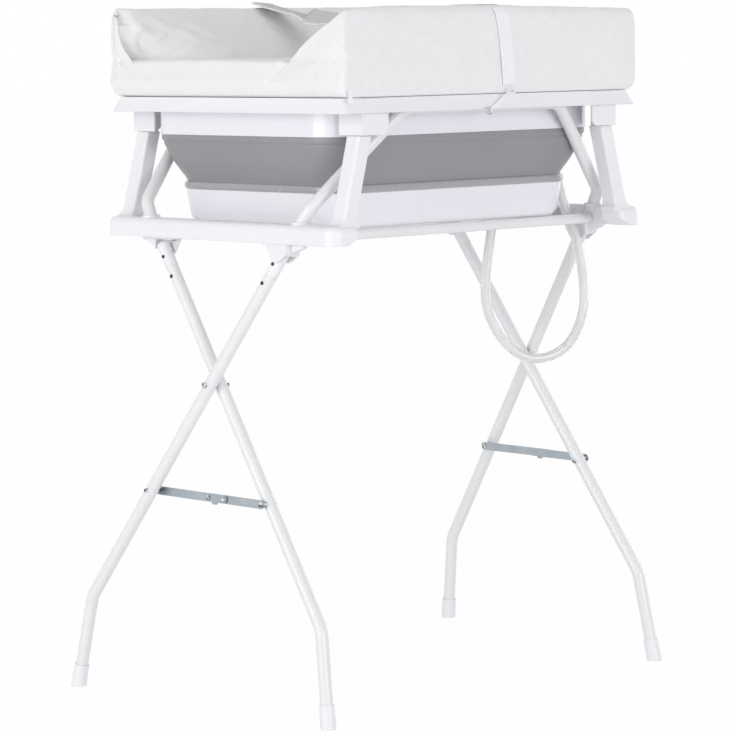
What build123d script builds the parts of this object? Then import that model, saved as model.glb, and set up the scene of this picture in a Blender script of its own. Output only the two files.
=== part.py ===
from build123d import *
from math import acos, asin, atan, cos, degrees, radians, sin, sqrt, tan
import os

# Folding baby changing table with a collapsible bathtub under the changing board.
# X runs along the stand, Y across it with the front at -Y, and Z up from the floor.
# All sizes are in millimetres.

# General fits
contact_gap = 0.3          # between soft or moving pieces that lie against each other
running_gap = 0.05         # radial clearance of a pin in its hole
cut_overrun = 60.0         # how far a cutting body runs past what it cuts

# Main sizes that the stand is laid out from
rail_outer_x = 310.0       # the outer face of each end rail
rail_half_length = 246.0   # half the length of a rail
pin_z = 636.0              # the leg pivots under the rails

# Legs: round steel tube with one bend above the floor
tube_d = 18.0
tube_wall = 1.2
leg_bend_radius = 40.0
foot_inset = 2.0           # from the rail's end in to the middle of a foot
bend_inset = 24.5
bend_z = 132.0
pin_inset = 117.5
outer_pin_inset = 11.0     # from the rail's outer face in to the pin
outer_bend_spread = 67.0   # from the pin out to the bend
outer_foot_spread = 79.0
inner_pin_inset = 16.5
inner_bend_spread = 27.0
inner_foot_spread = 37.5
leg_end_rise = 9.0         # how far a leg stands past its pin
leg_floor_gap = 4.0        # the tube stops above the floor inside its cap
foot_y = rail_half_length - foot_inset
bend_y = rail_half_length - bend_inset
pin_y = rail_half_length - pin_inset
outer_pin_x = rail_outer_x - outer_pin_inset
outer_bend_x = outer_pin_x + outer_bend_spread
outer_foot_x = outer_pin_x + outer_foot_spread
inner_pin_x = rail_outer_x - inner_pin_inset
inner_bend_x = inner_pin_x + inner_bend_spread
inner_foot_x = inner_pin_x + inner_foot_spread

# Plastic end piece in the top of each leg
leg_top_seam = 30.0        # from the pin down to the seam
leg_top_spigot = 28.0
leg_top_proud = 0.3        # the end piece stands out beyond the tube
leg_top_hollow = 5.0

# Foot caps
cap_height = 32.0
cap_top_d = 21.0
cap_bottom_d = 23.5
cap_cut_depth = 20.0

# Small screws below the sockets
leg_screw_d = 5.0
leg_screw_head = 1.2
leg_screw_length = 6.0
leg_screw_places = (12.5, 45.5)   # from the pin, down the leg

# Bolt where the two legs of a pair cross
cross_bolt_d = 5.0
cross_head_d = 8.6
cross_head_height = 2.4
cross_nut_width = 8.0
cross_nut_height = 3.4
cross_bolt_tail = 1.2
cross_spacer_d = 8.0

# Two-link folding stay of each pair
stay_z = 294.0
stay_width = 12.0
stay_thickness = 2.0
stay_overlap = 32.0
stay_tab_length = 7.0
stay_tab_depth = 2.6
stay_tab_place = 12.0
stay_bolt_d = 4.0
stay_head_d = 7.0
stay_head_height = 1.9
stay_face_head_d = 8.6     # of the bolt's other end, on the link
stay_face_head_height = 1.3
stay_rivet_d = 4.0
stay_rivet_head_d = 7.0
stay_rivet_head = 1.3
stay_shoulder_d = 8.0

# Leg sockets under the rails
cheek_gap = 0.8            # between a leg and the cheeks beside it
cheek_thickness = 2.8
socket_plate = 3.0
socket_toe_out = 47.5      # from the pin out to where the gusset meets the rail
socket_back_out = 18.0     # from the pin out to the wall behind the leg
socket_back_wall = 4.0
socket_heel_in = 28.5      # from the pin in to the end of the roof plate
socket_cheek_in = 18.5     # from the pin in to the cheeks
socket_cheek_drop = 8.0    # lowest point of the cheeks, below the pin
socket_cheek_shoulder = 13.0
socket_cheek_radius = 3.5
socket_gusset_thickness = 7.0
socket_gusset_toe = 4.0    # height of the gusset's end below the rail
socket_gusset_strip = 15.0
socket_toe_y = pin_y + socket_toe_out
socket_back_y = pin_y + socket_back_out
socket_heel_y = pin_y - socket_heel_in
socket_cheek_y = pin_y - socket_cheek_in
hinge_pin_d = 6.0
hinge_pin_skin = 0.9       # of the cheek over the pin's ends
socket_screw_d = 4.0
socket_screw_head_d = 7.5
socket_screw_head = 1.4
socket_screw_length = 12.0
socket_screw_x = inner_pin_x
socket_screw_in = 8.0      # from the socket's heel

# End frames: a rail with two posts in one moulding
rail_width = 22.0
rail_tip_width = 48.0
rail_tip_length = 40.0
rail_pin_rise = 18.2       # from the pins up to the rail
rail_height = 27.3
rail_wall = 2.6
rail_corner_radius = 20.0
rail_tip_inner_radius = 8.0
rail_crown = 10.0          # height and depth of the rounding of the rail's outer top edge
rail_crown_rise_shares = (0.0, 0.38, 0.71, 0.92, 1.0)
rail_crown_inset_shares = (0.0, 0.075, 0.296, 0.61, 1.0)
rail_tip_cut_width = 20.0  # slanting cut under the inner side of each tip
rail_tip_cut_height = 11.0
rail_edge_wall = 3.0
rail_rib = 2.4
rail_rib_pitch = 78.0
rail_pocket_wall = 4.0
rail_inner_x = rail_outer_x - rail_width
rail_tip_x = rail_outer_x - rail_tip_width
rail_bottom_z = pin_z + rail_pin_rise
rail_top_z = rail_bottom_z + rail_height
post_inset = 21.0          # from the rail's end in to the posts
post_foot_inset = 38.0     # from the rail's outer face in to a post's foot
post_lean_in = 31.5
post_height = 119.9
post_x_width = 25.0
post_y_width = 26.0
post_foot_flare_x = 12.0
post_foot_flare_y = 6.0
post_flare_height = 15.0
post_flare_rise_shares = (0.0, 0.25, 0.55, 1.0)
post_flare_shares = (1.0, 0.45, 0.15, 0.0)
post_corner_radius = 4.0
post_y = rail_half_length - post_inset
post_foot_x = rail_outer_x - post_foot_inset
post_head_x = post_foot_x - post_lean_in
post_head_z = rail_top_z + post_height
spigot_in = 1.5
spigot_x_width = 18.0
spigot_y_width = 17.0
spigot_height = 26.6
spigot_x = post_head_x - spigot_in
spigot_top_z = post_head_z + spigot_height
collar_d = 26.0
collar_height = 3.0

# Hoops over the rails and the bars between their legs
hoop_foot_inset = 12.7     # from the rail's outer face in to a hoop's foot
hoop_foot_end_inset = 102.5
hoop_foot_rise = 2.8
hoop_bend_in = 10.8
hoop_bend_out = 32.5
hoop_bend_rise = 22.5
hoop_top_inset = 156.0
hoop_top_end_inset = 1.5   # from the posts in to the top bar
hoop_top_rise = 35.6       # the top bar above the posts' heads
hoop_foot_radius = 28.0
hoop_top_radius = 34.0
hoop_foot_x = rail_outer_x - hoop_foot_inset
hoop_foot_y = rail_half_length - hoop_foot_end_inset
hoop_foot_z = rail_bottom_z + hoop_foot_rise
hoop_bend_x = hoop_foot_x - hoop_bend_in
hoop_bend_y = hoop_foot_y + hoop_bend_out
hoop_bend_z = rail_top_z + hoop_bend_rise
hoop_top_x = rail_outer_x - hoop_top_inset
hoop_top_y = post_y - hoop_top_end_inset
hoop_top_z = post_head_z + hoop_top_rise
crossbar_d = 15.0
crossbar_out = 13.0        # from the hoops' feet out to the bar
crossbar_rise = 7.8
crossbar_end_inset = 20.0
crossbar_y = hoop_foot_y + crossbar_out
crossbar_z = rail_bottom_z + crossbar_rise
crossbar_half = rail_outer_x - crossbar_end_inset

# Bathtub: stiff rim, soft folding wall, stiff base
tub_end_inset = 45.0       # from the rail's outer face in to the rim
tub_hoop_gap = 15.0
tub_corner_radius = 50.0
tub_half_x = rail_outer_x - tub_end_inset
tub_half_y = hoop_top_y - tube_d / 2 - tub_hoop_gap
rim_height = 47.3
rim_wall = 3.0
rim_lip_inset = 29.0       # from the hoop's upper bend in to the end of the lip that lies on it
rim_lip_reach = 30.0
rim_lip_thickness = 2.7
rim_top_z = hoop_top_z + tube_d / 2 + contact_gap
rim_bottom_z = rim_top_z - rim_height
rim_lip_half = hoop_top_x - rim_lip_inset
soft_wall = 2.4
soft_wall_height = 68.0
soft_wall_inset = 26.5
soft_wall_drop_shares = (0.0, 0.25, 0.52, 0.76, 1.0)
soft_wall_inset_shares = (0.04, 0.2, 0.43, 0.7, 1.0)
ring_inset = 25.0
ring_height = 11.0
ring_top_z = rim_bottom_z - soft_wall_height
ring_bottom_z = ring_top_z - ring_height
base_neck_inset = 28.5     # where the ring sits on it
base_inset = 25.8
base_foot_inset = 31.5
base_rest_gap = 0.3         # the open tub's base stands just clear of the crossbars
base_wall = 2.5
base_edge_radius = 18.0
base_bottom_z = crossbar_z + crossbar_d / 2 + base_rest_gap

# Drain, plug, hose and hose clip
drain_end_inset = 100.0    # from the rim's end in to the drain
drain_side_inset = 124.5
drain_bore_d = 26.16
drain_flange_d = 40.0
drain_flange_height = 4.0
drain_body_d = 32.0
drain_height = 17.8
drain_floor = 4.0
drain_x = tub_half_x - drain_end_inset
drain_y = drain_side_inset - tub_half_y
drain_bottom_z = base_bottom_z - drain_height
plug_stem_d = 26.0
plug_stem_depth = 9.8
plug_stem_bottom_z = base_bottom_z - plug_stem_depth
plug_disc_d = 36.0
plug_disc_height = 4.0
plug_knob_d = 12.0
plug_knob_height = 10.0
plug_knob_radius = 2.5
hose_d = 14.5
clip_rise = 2.5            # the middle of the clip above the ring's lower edge
clip_z = ring_bottom_z + clip_rise
clip_wall = 2.4
clip_height = 7.0
clip_arm_width = 6.0

# Changing board: a tray with a flared lip and a skirt at each corner
board_end_reach = 54.0     # from the posts' spigots out to the board's end
board_side_reach = 26.0
board_rise = 4.0
board_height = 21.0
board_half_x = spigot_x + board_end_reach
board_half_y = post_y + board_side_reach
board_bottom_z = spigot_top_z + board_rise
board_top_z = board_bottom_z + board_height
board_top_inset = 8.5
board_corner_radius = 14.0
board_wall = 2.5
board_panel = 3.0
skirt_out_x = 13.5         # from the middle of the spigot out to the skirt's face
skirt_in_x = 36.0
skirt_out_y = 19.0
skirt_in_y = 27.5
skirt_post_gap = 0.6
skirt_outer_x = spigot_x + skirt_out_x
skirt_inner_x = spigot_x - skirt_in_x
skirt_outer_y = post_y + skirt_out_y
skirt_inner_y = post_y - skirt_in_y
skirt_bottom_z = post_head_z + skirt_post_gap
skirt_wall = 3.0
skirt_corner_radius = 11.0

# Changing mat: a thin bed with a wedge bolster along each long side
mat_end_inset = 3.0        # from the board's end in to the mat
mat_overhang = 1.0
mat_bed_height = 50.0
mat_bed_crown = 3.0
mat_ridge_height = 127.5
mat_ridge_inset = 12.0
mat_ridge_width = 14.0
mat_ridge_fall = 5.0
mat_slope_run = 118.0      # from the ridge in to the foot of the slope
mat_slope_crown = 2.5
mat_side_bulge = 3.0
mat_bottom_tuck = 6.0
mat_low_rise = 9.0
mat_shoulder_drop = 13.5
mat_corner_bulge = 2.0
mat_end_draw = 9.0
mat_end_length = 16.0
mat_end_place_shares = (0.0, 0.12, 0.4, 1.0)   # how far in from each end of the mat
mat_end_draw_shares = (1.0, 0.55, 0.16, 0.0)   # how much the mat is drawn in there
mat_back_end_run = 28.0    # the back slope is steep at the mat's open end
mat_back_end_length = 95.0
mat_back_end_place_shares = (0.0, 0.2, 0.45, 0.7, 0.88, 1.0)
mat_back_end_run_shares = (0.0, 0.1, 0.38, 0.72, 0.93, 1.0)
mat_half_x = board_half_x - mat_end_inset
mat_half_y = board_half_y + mat_overhang
mat_bed_z = board_top_z + mat_bed_height
mat_ridge_z = board_top_z + mat_ridge_height
mat_ridge_y = mat_half_y - mat_ridge_inset
mat_slope_foot_y = mat_ridge_y - mat_slope_run
mat_low_z = board_top_z + mat_low_rise
mat_shoulder_z = mat_ridge_z - mat_shoulder_drop

# Belt, straps, loop, elastic, hook and tie
belt_width = 55.0
belt_thickness = 4.0
belt_x = 4.0
belt_end_inset = 4.0       # from the ridge in to the belt's end
belt_end_rise = 1.0
belt_sag = 29.0
belt_half_y = mat_ridge_y - belt_end_inset
belt_end_z = mat_ridge_z + belt_end_rise
strap_width = 25.0
strap_thickness = 1.4
strap_top_x = 9.5
strap_bottom_x = 24.5
loop_width = 15.0
loop_height = 7.0
loop_thickness = 3.2
loop_bar = 2.2
loop_rise = 3.5
loop_z = board_top_z + loop_rise
elastic_width = 3.0
elastic_thickness = 1.0
elastic_side = 7.5         # from the strap's middle to where the elastic starts
elastic_run = 32.0
elastic_start_drop = 4.7
elastic_end_rise = 1.0
elastic_start_x = strap_bottom_x - elastic_side
elastic_end_x = elastic_start_x - elastic_run
elastic_start_z = loop_z - elastic_start_drop
elastic_end_z = board_bottom_z + elastic_end_rise
hook_length = 11.0
hook_height = 8.0
hook_thickness = 2.6
hook_eye_d = 3.2
hook_side = 5.0
hook_drop = 4.0
hook_x = elastic_end_x - hook_side
hook_z = elastic_end_z - hook_drop
tie_width = 7.0
tie_thickness = 1.4
tie_rise = 13.0
tie_drop = 8.0
tie_inset = 9.0
tie_seat = 2.8             # the mat's edge is drawn in this far behind the tie
tie_top_z = board_top_z + tie_rise
tie_bottom_z = board_top_z - tie_drop

# Worked-out sizes of the leg pairs. One leg pair lies close to a plane that leans
# outwards below the rail, and all its pivots are square to that plane.
tube_r = tube_d / 2
leg_drop = pin_z - bend_z
outer_splay = outer_bend_spread / leg_drop
inner_splay = inner_bend_spread / leg_drop
pair_lean = atan((outer_splay + inner_splay) / 2)
pair_axis = Vector(cos(pair_lean), 0, -sin(pair_lean))
cross_share = bend_y / (bend_y + pin_y)
cross_z = bend_z + leg_drop * cross_share
outer_cross_x = outer_bend_x - outer_bend_spread * cross_share
inner_cross_x = inner_bend_x - inner_bend_spread * cross_share
cross_point = Vector(-(outer_cross_x + inner_cross_x) / 2, 0, cross_z)
leg_spacing = (outer_cross_x - inner_cross_x) * cos(pair_lean)
stay_half = bend_y - (bend_y + pin_y) * (stay_z - bend_z) / leg_drop


def leg_points(foot_x, bend_x, top_x, foot_side):
    """Foot, bend and pin of a left leg whose foot is at the back (1) or front (-1)."""
    foot = Vector(-foot_x, foot_side * foot_y, 0)
    bend = Vector(-bend_x, foot_side * bend_y, bend_z)
    pin = Vector(-top_x, -foot_side * pin_y, pin_z)
    return foot, bend, pin


outer_leg_points = leg_points(outer_foot_x, outer_bend_x, outer_pin_x, 1)
inner_leg_points = leg_points(inner_foot_x, inner_bend_x, inner_pin_x, -1)


def rod(start, end, diameter):
    """A round bar between two points."""
    run = end - start
    plane = Plane(origin=start, z_dir=run.normalized())
    return extrude(plane * Circle(diameter / 2), run.length)


def box_between(low, high):
    """A box from its lowest corner to its highest corner."""
    size = [top - bottom for bottom, top in zip(low, high)]
    middle = [(top + bottom) / 2 for bottom, top in zip(low, high)]
    return Pos(*middle) * Box(*size)


def plan_loft(levels, radius, ruled=False):
    """A body through rounded rectangles, each given as height, half length, half width."""
    outlines = [
        Pos(0, 0, z) * RectangleRounded(2 * half_x, 2 * half_y, radius)
        for z, half_x, half_y in levels
    ]
    return loft(outlines, ruled=ruled)


def swept_tube(path, outer_d, inner_d):
    """A hollow tube along a path."""
    start = Plane(origin=path @ 0, z_dir=path % 0)
    outside = sweep(start * Circle(outer_d / 2), path=path)
    inside = sweep(start * Circle(inner_d / 2), path=path)
    return outside - inside


def below(z):
    """Everything below a height, for trimming."""
    reach = rail_outer_x + foot_y
    return box_between((-reach, -reach, z - reach), (reach, reach, z))


def pin_along(centre, axis, start, end, diameter):
    """A pin through a point, from one distance along its axis to another."""
    return rod(centre + axis * start, centre + axis * end, diameter)


# Legs
def leg_tube(points):
    foot, bend, pin = points
    down = (pin - bend).normalized()
    seam = pin - down * leg_top_seam
    start = foot + (foot - bend).normalized() * cap_cut_depth
    path = FilletPolyline(start, bend, seam, radius=leg_bend_radius)
    return swept_tube(path, tube_d, tube_d - 2 * tube_wall) - below(leg_floor_gap)


def leg_top(points):
    foot, bend, pin = points
    down = (bend - pin).normalized()
    seam = pin + down * leg_top_seam
    end = pin - down * leg_end_rise
    body = rod(seam, end, tube_d + 2 * leg_top_proud)
    spigot = rod(seam, seam + down * leg_top_spigot, tube_d - 2 * tube_wall)
    hollow = rod(seam + down * (leg_top_spigot + leg_top_hollow), seam - down * leg_top_hollow,
                 tube_d - 2 * leg_top_hollow)
    return body + spigot - hollow


def foot_cap(points):
    foot, bend, pin = points
    up = (bend - foot).normalized()
    low = foot - up * cap_cut_depth
    plane = Plane(origin=low, z_dir=up)
    height = cap_height + cap_cut_depth
    body = plane * Cone(cap_bottom_d / 2, cap_top_d / 2, height,
                        align=(Align.CENTER, Align.CENTER, Align.MIN))
    bore = rod(low, foot + up * (cap_height + cap_cut_depth), tube_d) - below(leg_floor_gap)
    return body - bore - below(0)


def leg_screw_bodies(points):
    """Screws on the outer face of the leg, with their heads on the tube."""
    foot, bend, pin = points
    down = (bend - pin).normalized()
    outward = -pair_axis
    screws = []
    for place in leg_screw_places:
        centre = pin + down * place
        shank = rod(centre + outward * (tube_r - leg_screw_length), centre + outward * tube_r,
                    leg_screw_d / 2)
        head = rod(centre + outward * tube_r * cos(asin(leg_screw_d / tube_d)),
                   centre + outward * (tube_r + leg_screw_head), leg_screw_d)
        screws.append(shank + head)
    return screws


# Bolts and stays
outer_stay_x = outer_pin_x + outer_splay * (pin_z - stay_z)
inner_stay_x = inner_pin_x + inner_splay * (pin_z - stay_z)
stay_middle = Vector(-(outer_stay_x + inner_stay_x) / 2, 0, stay_z)
stay_spread = (outer_stay_x - inner_stay_x) / 2
stay_plane = Plane(origin=stay_middle, x_dir=(0, 1, 0), z_dir=pair_axis)
stay_tube_face = stay_spread * cos(pair_lean) - tube_r


def cross_bolt():
    half = leg_spacing / 2 + tube_r
    nut_start = half + contact_gap
    shank = pin_along(cross_point, pair_axis, -half,
                      nut_start + cross_nut_height + cross_bolt_tail, cross_bolt_d)
    head = pin_along(cross_point, pair_axis, -half - cross_head_height, -half, cross_head_d)
    nut_plane = Plane(origin=cross_point + pair_axis * nut_start, x_dir=(0, 1, 0), z_dir=pair_axis)
    nut = extrude(nut_plane * RegularPolygon(cross_nut_width / 2, 6, major_radius=False),
                  cross_nut_height)
    spacer = pin_along(cross_point, pair_axis, tube_r - leg_spacing / 2 + contact_gap,
                       leg_spacing / 2 - tube_r - contact_gap, cross_spacer_d)
    return shank + head + nut + spacer


def stay_pivot(side):
    """Where a stay link is bolted to its leg: 1 is the outer leg, -1 the inner."""
    return stay_middle + Vector(0, side * stay_half, 0)


def stay_bolt(side):
    """A bolt through the link and the leg, with a shoulder that keeps the link off the tube."""
    centre = stay_pivot(side)
    outward = pair_axis * -side
    tube_far = stay_tube_face + tube_d
    link_far = contact_gap / 2 + stay_thickness
    link_near = contact_gap / 2 - running_gap
    shank = pin_along(centre, outward, link_near, tube_far, stay_bolt_d)
    face_head = pin_along(centre, outward, link_near - stay_face_head_height, link_near,
                          stay_face_head_d)
    head = pin_along(centre, outward, tube_far, tube_far + stay_head_height, stay_head_d)
    shoulder = pin_along(centre, outward, link_far + running_gap, stay_tube_face, stay_shoulder_d)
    return shank + head + shoulder + face_head


def stay_link(side):
    """One link of the stay: 1 is bolted to the outer leg, -1 to the inner."""
    start = contact_gap / 2 if side < 0 else -contact_gap / 2 - stay_thickness
    reach = stay_overlap if side > 0 else 0
    length = stay_half + reach
    centre = side * (stay_half - reach) / 2
    plane = stay_plane.offset(start)
    link = extrude(plane * (Pos(centre, 0) * SlotCenterToCenter(length, stay_width)), stay_thickness)
    if side > 0:
        tab = Pos(-stay_tab_place, -stay_width / 2) * Rectangle(
            stay_tab_length, 2 * (stay_tab_depth + contact_gap))
        link += extrude(plane * tab, stay_thickness)
        lug = Pos(-stay_tab_place, -stay_width / 2 - contact_gap - stay_tab_depth / 2) * Rectangle(
            stay_tab_length, stay_tab_depth)
        link += extrude(plane * lug, 2 * stay_thickness + contact_gap)
    hole = stay_bolt_d + 2 * running_gap
    link -= pin_along(stay_pivot(side), pair_axis, -cut_overrun, cut_overrun, hole)
    if side > 0:
        for y in (0, -stay_overlap):
            centre_point = stay_middle + Vector(0, y, 0)
            link -= pin_along(centre_point, pair_axis, -cut_overrun, cut_overrun, stay_rivet_d)
    return link


def stay_rivets():
    """The middle rivet and the stop rivet, both closed flush on the inner face."""
    outer_face = -contact_gap / 2 - stay_thickness
    rivets = []
    for y in (0, -stay_overlap):
        centre = stay_middle + Vector(0, y, 0)
        shank = pin_along(centre, pair_axis, outer_face, -contact_gap / 2, stay_rivet_d)
        head = pin_along(centre, pair_axis, outer_face - stay_rivet_head, outer_face,
                         stay_rivet_head_d)
        rivets.append(shank + head)
    return rivets


# Sockets under the rails
def cheek_outline(side):
    """A cheek from the side, in the pair's plane: across the stand, and up from the pin."""
    roof = rail_top_z - pin_z
    rail_z = rail_bottom_z - pin_z
    back_y = socket_back_y + socket_back_wall
    points = (
        (socket_cheek_y, roof),
        (socket_cheek_y, socket_cheek_shoulder),
        (pin_y - tube_r, -socket_cheek_drop / 2),
        (pin_y - tube_r / 2, -socket_cheek_drop),
        (pin_y + tube_r / 2, -socket_cheek_drop),
        (back_y, rail_z - socket_gusset_strip),
        (back_y, roof),
    )
    face = make_face(Polyline([(side * y, z) for y, z in points], close=True))
    low_corners = [corner for corner in face.vertices() if corner.Y < rail_z - socket_plate]
    return fillet(low_corners, socket_cheek_radius)


def gusset_outline(side):
    """The web behind the leg from the side: a slanting strip out to the rail."""
    roof = rail_top_z - pin_z
    rail_z = rail_bottom_z - pin_z
    points = (
        (socket_back_y, roof), (socket_back_y, rail_z - socket_gusset_strip),
        (socket_toe_y, rail_z - socket_gusset_toe), (socket_toe_y, roof),
    )
    return make_face(Polyline([(side * y, z) for y, z in points], close=True))


def leg_socket(side, top_x, is_fork):
    """A socket on the left rail, at the back (1) or front (-1). The back one has no outer cheek."""
    centre = Vector(-top_x, 0, pin_z)
    plane = Plane(origin=centre, x_dir=(0, 1, 0), z_dir=pair_axis)
    inside = tube_r + cheek_gap
    outside = inside + cheek_thickness
    roof_z = rail_bottom_z - socket_plate
    block = extrude(plane.offset(-outside) * cheek_outline(side), 2 * outside)
    room_low = min(0, side * socket_back_y)
    room_high = max(0, side * socket_back_y)
    room_sketch = make_face(Polyline([
        (room_low, -cut_overrun), (room_high, -cut_overrun),
        (room_high, roof_z - pin_z), (room_low, roof_z - pin_z),
    ], close=True))
    socket = block - extrude(plane.offset(-inside) * room_sketch, 2 * inside)
    if is_fork:
        open_sketch = make_face(Polyline([
            (0, -cut_overrun), (side * (socket_toe_y + cut_overrun), -cut_overrun),
            (side * (socket_toe_y + cut_overrun), roof_z - pin_z), (0, roof_z - pin_z),
        ], close=True))
        socket -= extrude(plane.offset(-outside - cut_overrun) * open_sketch,
                          outside + cut_overrun - socket_gusset_thickness / 2)
    half_gusset = socket_gusset_thickness / 2
    socket += extrude(plane.offset(-half_gusset) * gusset_outline(side), socket_gusset_thickness)
    low_y, high_y = sorted((side * socket_heel_y, side * (socket_back_y + socket_back_wall)))
    socket += box_between((-top_x - inside, low_y, roof_z), (-top_x + inside, high_y, rail_top_z))
    socket -= box_between((-rail_outer_x - cut_overrun, -rail_half_length, rail_bottom_z),
                          (0, rail_half_length, rail_top_z + cut_overrun))
    return socket


def socket_screws(side):
    """One screw beside each socket's heel, up into the rail."""
    y = side * (socket_heel_y + socket_screw_in)
    roof_z = rail_bottom_z - socket_plate
    low = Vector(-socket_screw_x, y, roof_z - socket_screw_head)
    return rod(low, Vector(-socket_screw_x, y, roof_z), socket_screw_head_d) + rod(
        low, low + Vector(0, 0, socket_screw_length), socket_screw_d)


def hinge_pin():
    half = tube_r + cheek_gap + cheek_thickness - hinge_pin_skin
    return pin_along(outer_leg_points[2], pair_axis, -half, half, hinge_pin_d)


# Hoops and crossbars
def hoop_path(side):
    points = [
        (-hoop_foot_x, side * hoop_foot_y, hoop_foot_z),
        (-hoop_bend_x, side * hoop_bend_y, hoop_bend_z),
        (-hoop_top_x, side * hoop_top_y, hoop_top_z),
        (hoop_top_x, side * hoop_top_y, hoop_top_z),
        (hoop_bend_x, side * hoop_bend_y, hoop_bend_z),
        (hoop_foot_x, side * hoop_foot_y, hoop_foot_z),
    ]
    radii = [hoop_foot_radius, hoop_top_radius, hoop_top_radius, hoop_foot_radius]
    return FilletPolyline(*points, radius=radii)


def hoop(side):
    path = hoop_path(side)
    return swept_tube(path, tube_d, tube_d - 2 * tube_wall) - below(hoop_foot_z)


def hoop_legs(side):
    """The two straight feet of a hoop as solid bars, for cutting what they pass through."""
    bodies = []
    for x_side in (-1, 1):
        foot = Vector(x_side * hoop_foot_x, side * hoop_foot_y, hoop_foot_z)
        bend = Vector(x_side * hoop_bend_x, side * hoop_bend_y, hoop_bend_z)
        rise = (bend - foot).normalized()
        bodies.append(rod(foot - rise * tube_d, bend, tube_d))
    return bodies


def crossbar(side):
    low = Vector(-crossbar_half, side * crossbar_y, crossbar_z)
    high = Vector(crossbar_half, side * crossbar_y, crossbar_z)
    bar = rod(low, high, crossbar_d)
    bar -= rod(low, high, crossbar_d - 2 * tube_wall)
    for leg in hoop_legs(side):
        bar -= leg
    return bar


# End frames
def rail_plan(inset):
    """The left rail from above, a long bar with a wider tip at each end, drawn in on its outer side."""
    outer = inset - rail_outer_x
    end_y = rail_half_length - inset
    tip_y = rail_half_length - rail_tip_length
    points = (
        (outer, -end_y), (-rail_tip_x, -end_y), (-rail_tip_x, -tip_y),
        (-rail_inner_x, -tip_y), (-rail_inner_x, tip_y), (-rail_tip_x, tip_y),
        (-rail_tip_x, end_y), (outer, end_y),
    )
    face = make_face(Polyline(points, close=True))
    outer_corners = face.vertices().sort_by(Axis.X)[:2]
    face = fillet(outer_corners, rail_corner_radius - inset)
    tip_corners = [
        corner for corner in face.vertices()
        if corner.X > -rail_inner_x + rail_wall and abs(corner.Y) > tip_y + rail_wall
    ]
    return fillet(tip_corners, rail_tip_inner_radius)


def post(side):
    """A post that leans in over the rail, with a flared foot and a spigot for the board."""
    foot_z = rail_top_z - rail_crown / 2
    lean = (post_foot_x - post_head_x) / (post_head_z - rail_top_z)
    levels = [
        (rail_top_z + post_flare_height * rise, flare)
        for rise, flare in zip(post_flare_rise_shares, post_flare_shares)
    ]
    sections = []
    for z, flare in [(foot_z, post_flare_shares[0])] + levels + [(post_head_z, 0)]:
        x = post_foot_x - lean * (z - rail_top_z)
        outline = RectangleRounded(post_x_width + post_foot_flare_x * flare,
                                   post_y_width + post_foot_flare_y * flare, post_corner_radius)
        sections.append(Pos(-x, side * post_y, z) * outline)
    column = loft(sections, ruled=True)
    spigot = box_between(
        (-spigot_x - spigot_x_width / 2, side * post_y - spigot_y_width / 2, post_head_z - rail_wall),
        (-spigot_x + spigot_x_width / 2, side * post_y + spigot_y_width / 2, spigot_top_z),
    )
    return column + spigot


def end_frame():
    crown_z = rail_top_z - rail_crown
    rail = Pos(0, 0, rail_bottom_z) * extrude(rail_plan(0), crown_z - rail_bottom_z)
    rail += loft([
        Pos(0, 0, crown_z + rail_crown * rise) * rail_plan(rail_crown * inset)
        for rise, inset in zip(rail_crown_rise_shares, rail_crown_inset_shares)
    ], ruled=True)
    tip_y = rail_half_length - rail_tip_length
    channel_y = hoop_foot_y - collar_d / 2
    rail -= box_between(
        (-rail_outer_x + rail_wall + rail_edge_wall, -channel_y, rail_bottom_z + rail_wall),
        (-rail_tip_x, channel_y, rail_top_z - rail_wall - rail_edge_wall),
    )
    for side in (-1, 1):
        near = side * (tip_y + rail_pocket_wall)
        far = side * (rail_half_length - rail_pocket_wall - rail_corner_radius / 2)
        rail -= box_between(
            (-rail_outer_x + rail_pocket_wall + rail_edge_wall, min(near, far),
             rail_bottom_z - rail_wall),
            (-rail_inner_x, max(near, far), crown_z),
        )
        cut_plane = Plane(origin=(-rail_tip_x, side * tip_y, rail_bottom_z), x_dir=(1, 0, 0),
                          z_dir=(0, side, 0))
        up = 1 if cut_plane.y_dir.Z > 0 else -1
        cut = make_face(Polyline([(-rail_tip_cut_width, 0), (0, 0), (0, up * rail_tip_cut_height)],
                                 close=True))
        rail -= extrude(cut_plane * cut, rail_tip_length)
    for count in (-1, 0, 1):
        y = count * rail_rib_pitch
        rail += box_between(
            (-rail_outer_x + rail_wall, y - rail_rib / 2, rail_bottom_z + rail_wall / 2),
            (-rail_inner_x, y + rail_rib / 2, rail_top_z - rail_wall - rail_edge_wall / 2),
        )
    frame = rail
    for side in (-1, 1):
        frame += post(side)
        rise = Vector(-hoop_bend_x + hoop_foot_x, side * (hoop_bend_y - hoop_foot_y),
                      hoop_bend_z - hoop_foot_z)
        foot = Vector(-hoop_foot_x, side * hoop_foot_y, hoop_foot_z)
        on_top = foot + rise * ((rail_top_z - hoop_foot_z) / rise.Z)
        collar = Pos(on_top.X, on_top.Y, rail_top_z - rail_wall / 2) * Cylinder(
            collar_d / 2, collar_height + rail_wall / 2, align=(Align.CENTER, Align.CENTER, Align.MIN))
        collar &= box_between((-rail_outer_x, -rail_half_length, rail_bottom_z),
                              (-rail_tip_x, rail_half_length, rail_top_z + cut_overrun))
        frame += collar
    for side in (-1, 1):
        bar = rod(Vector(-crossbar_half, side * crossbar_y, crossbar_z),
                  Vector(0, side * crossbar_y, crossbar_z), crossbar_d + 2 * contact_gap)
        frame -= bar
        frame -= hoop_legs(side)[0] - below(hoop_foot_z)
        frame -= socket_screws(side)
    return frame


# Bathtub parts
def tub_levels(levels, wall):
    return [(z, tub_half_x - inset - wall, tub_half_y - inset - wall) for z, inset in levels]


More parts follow.
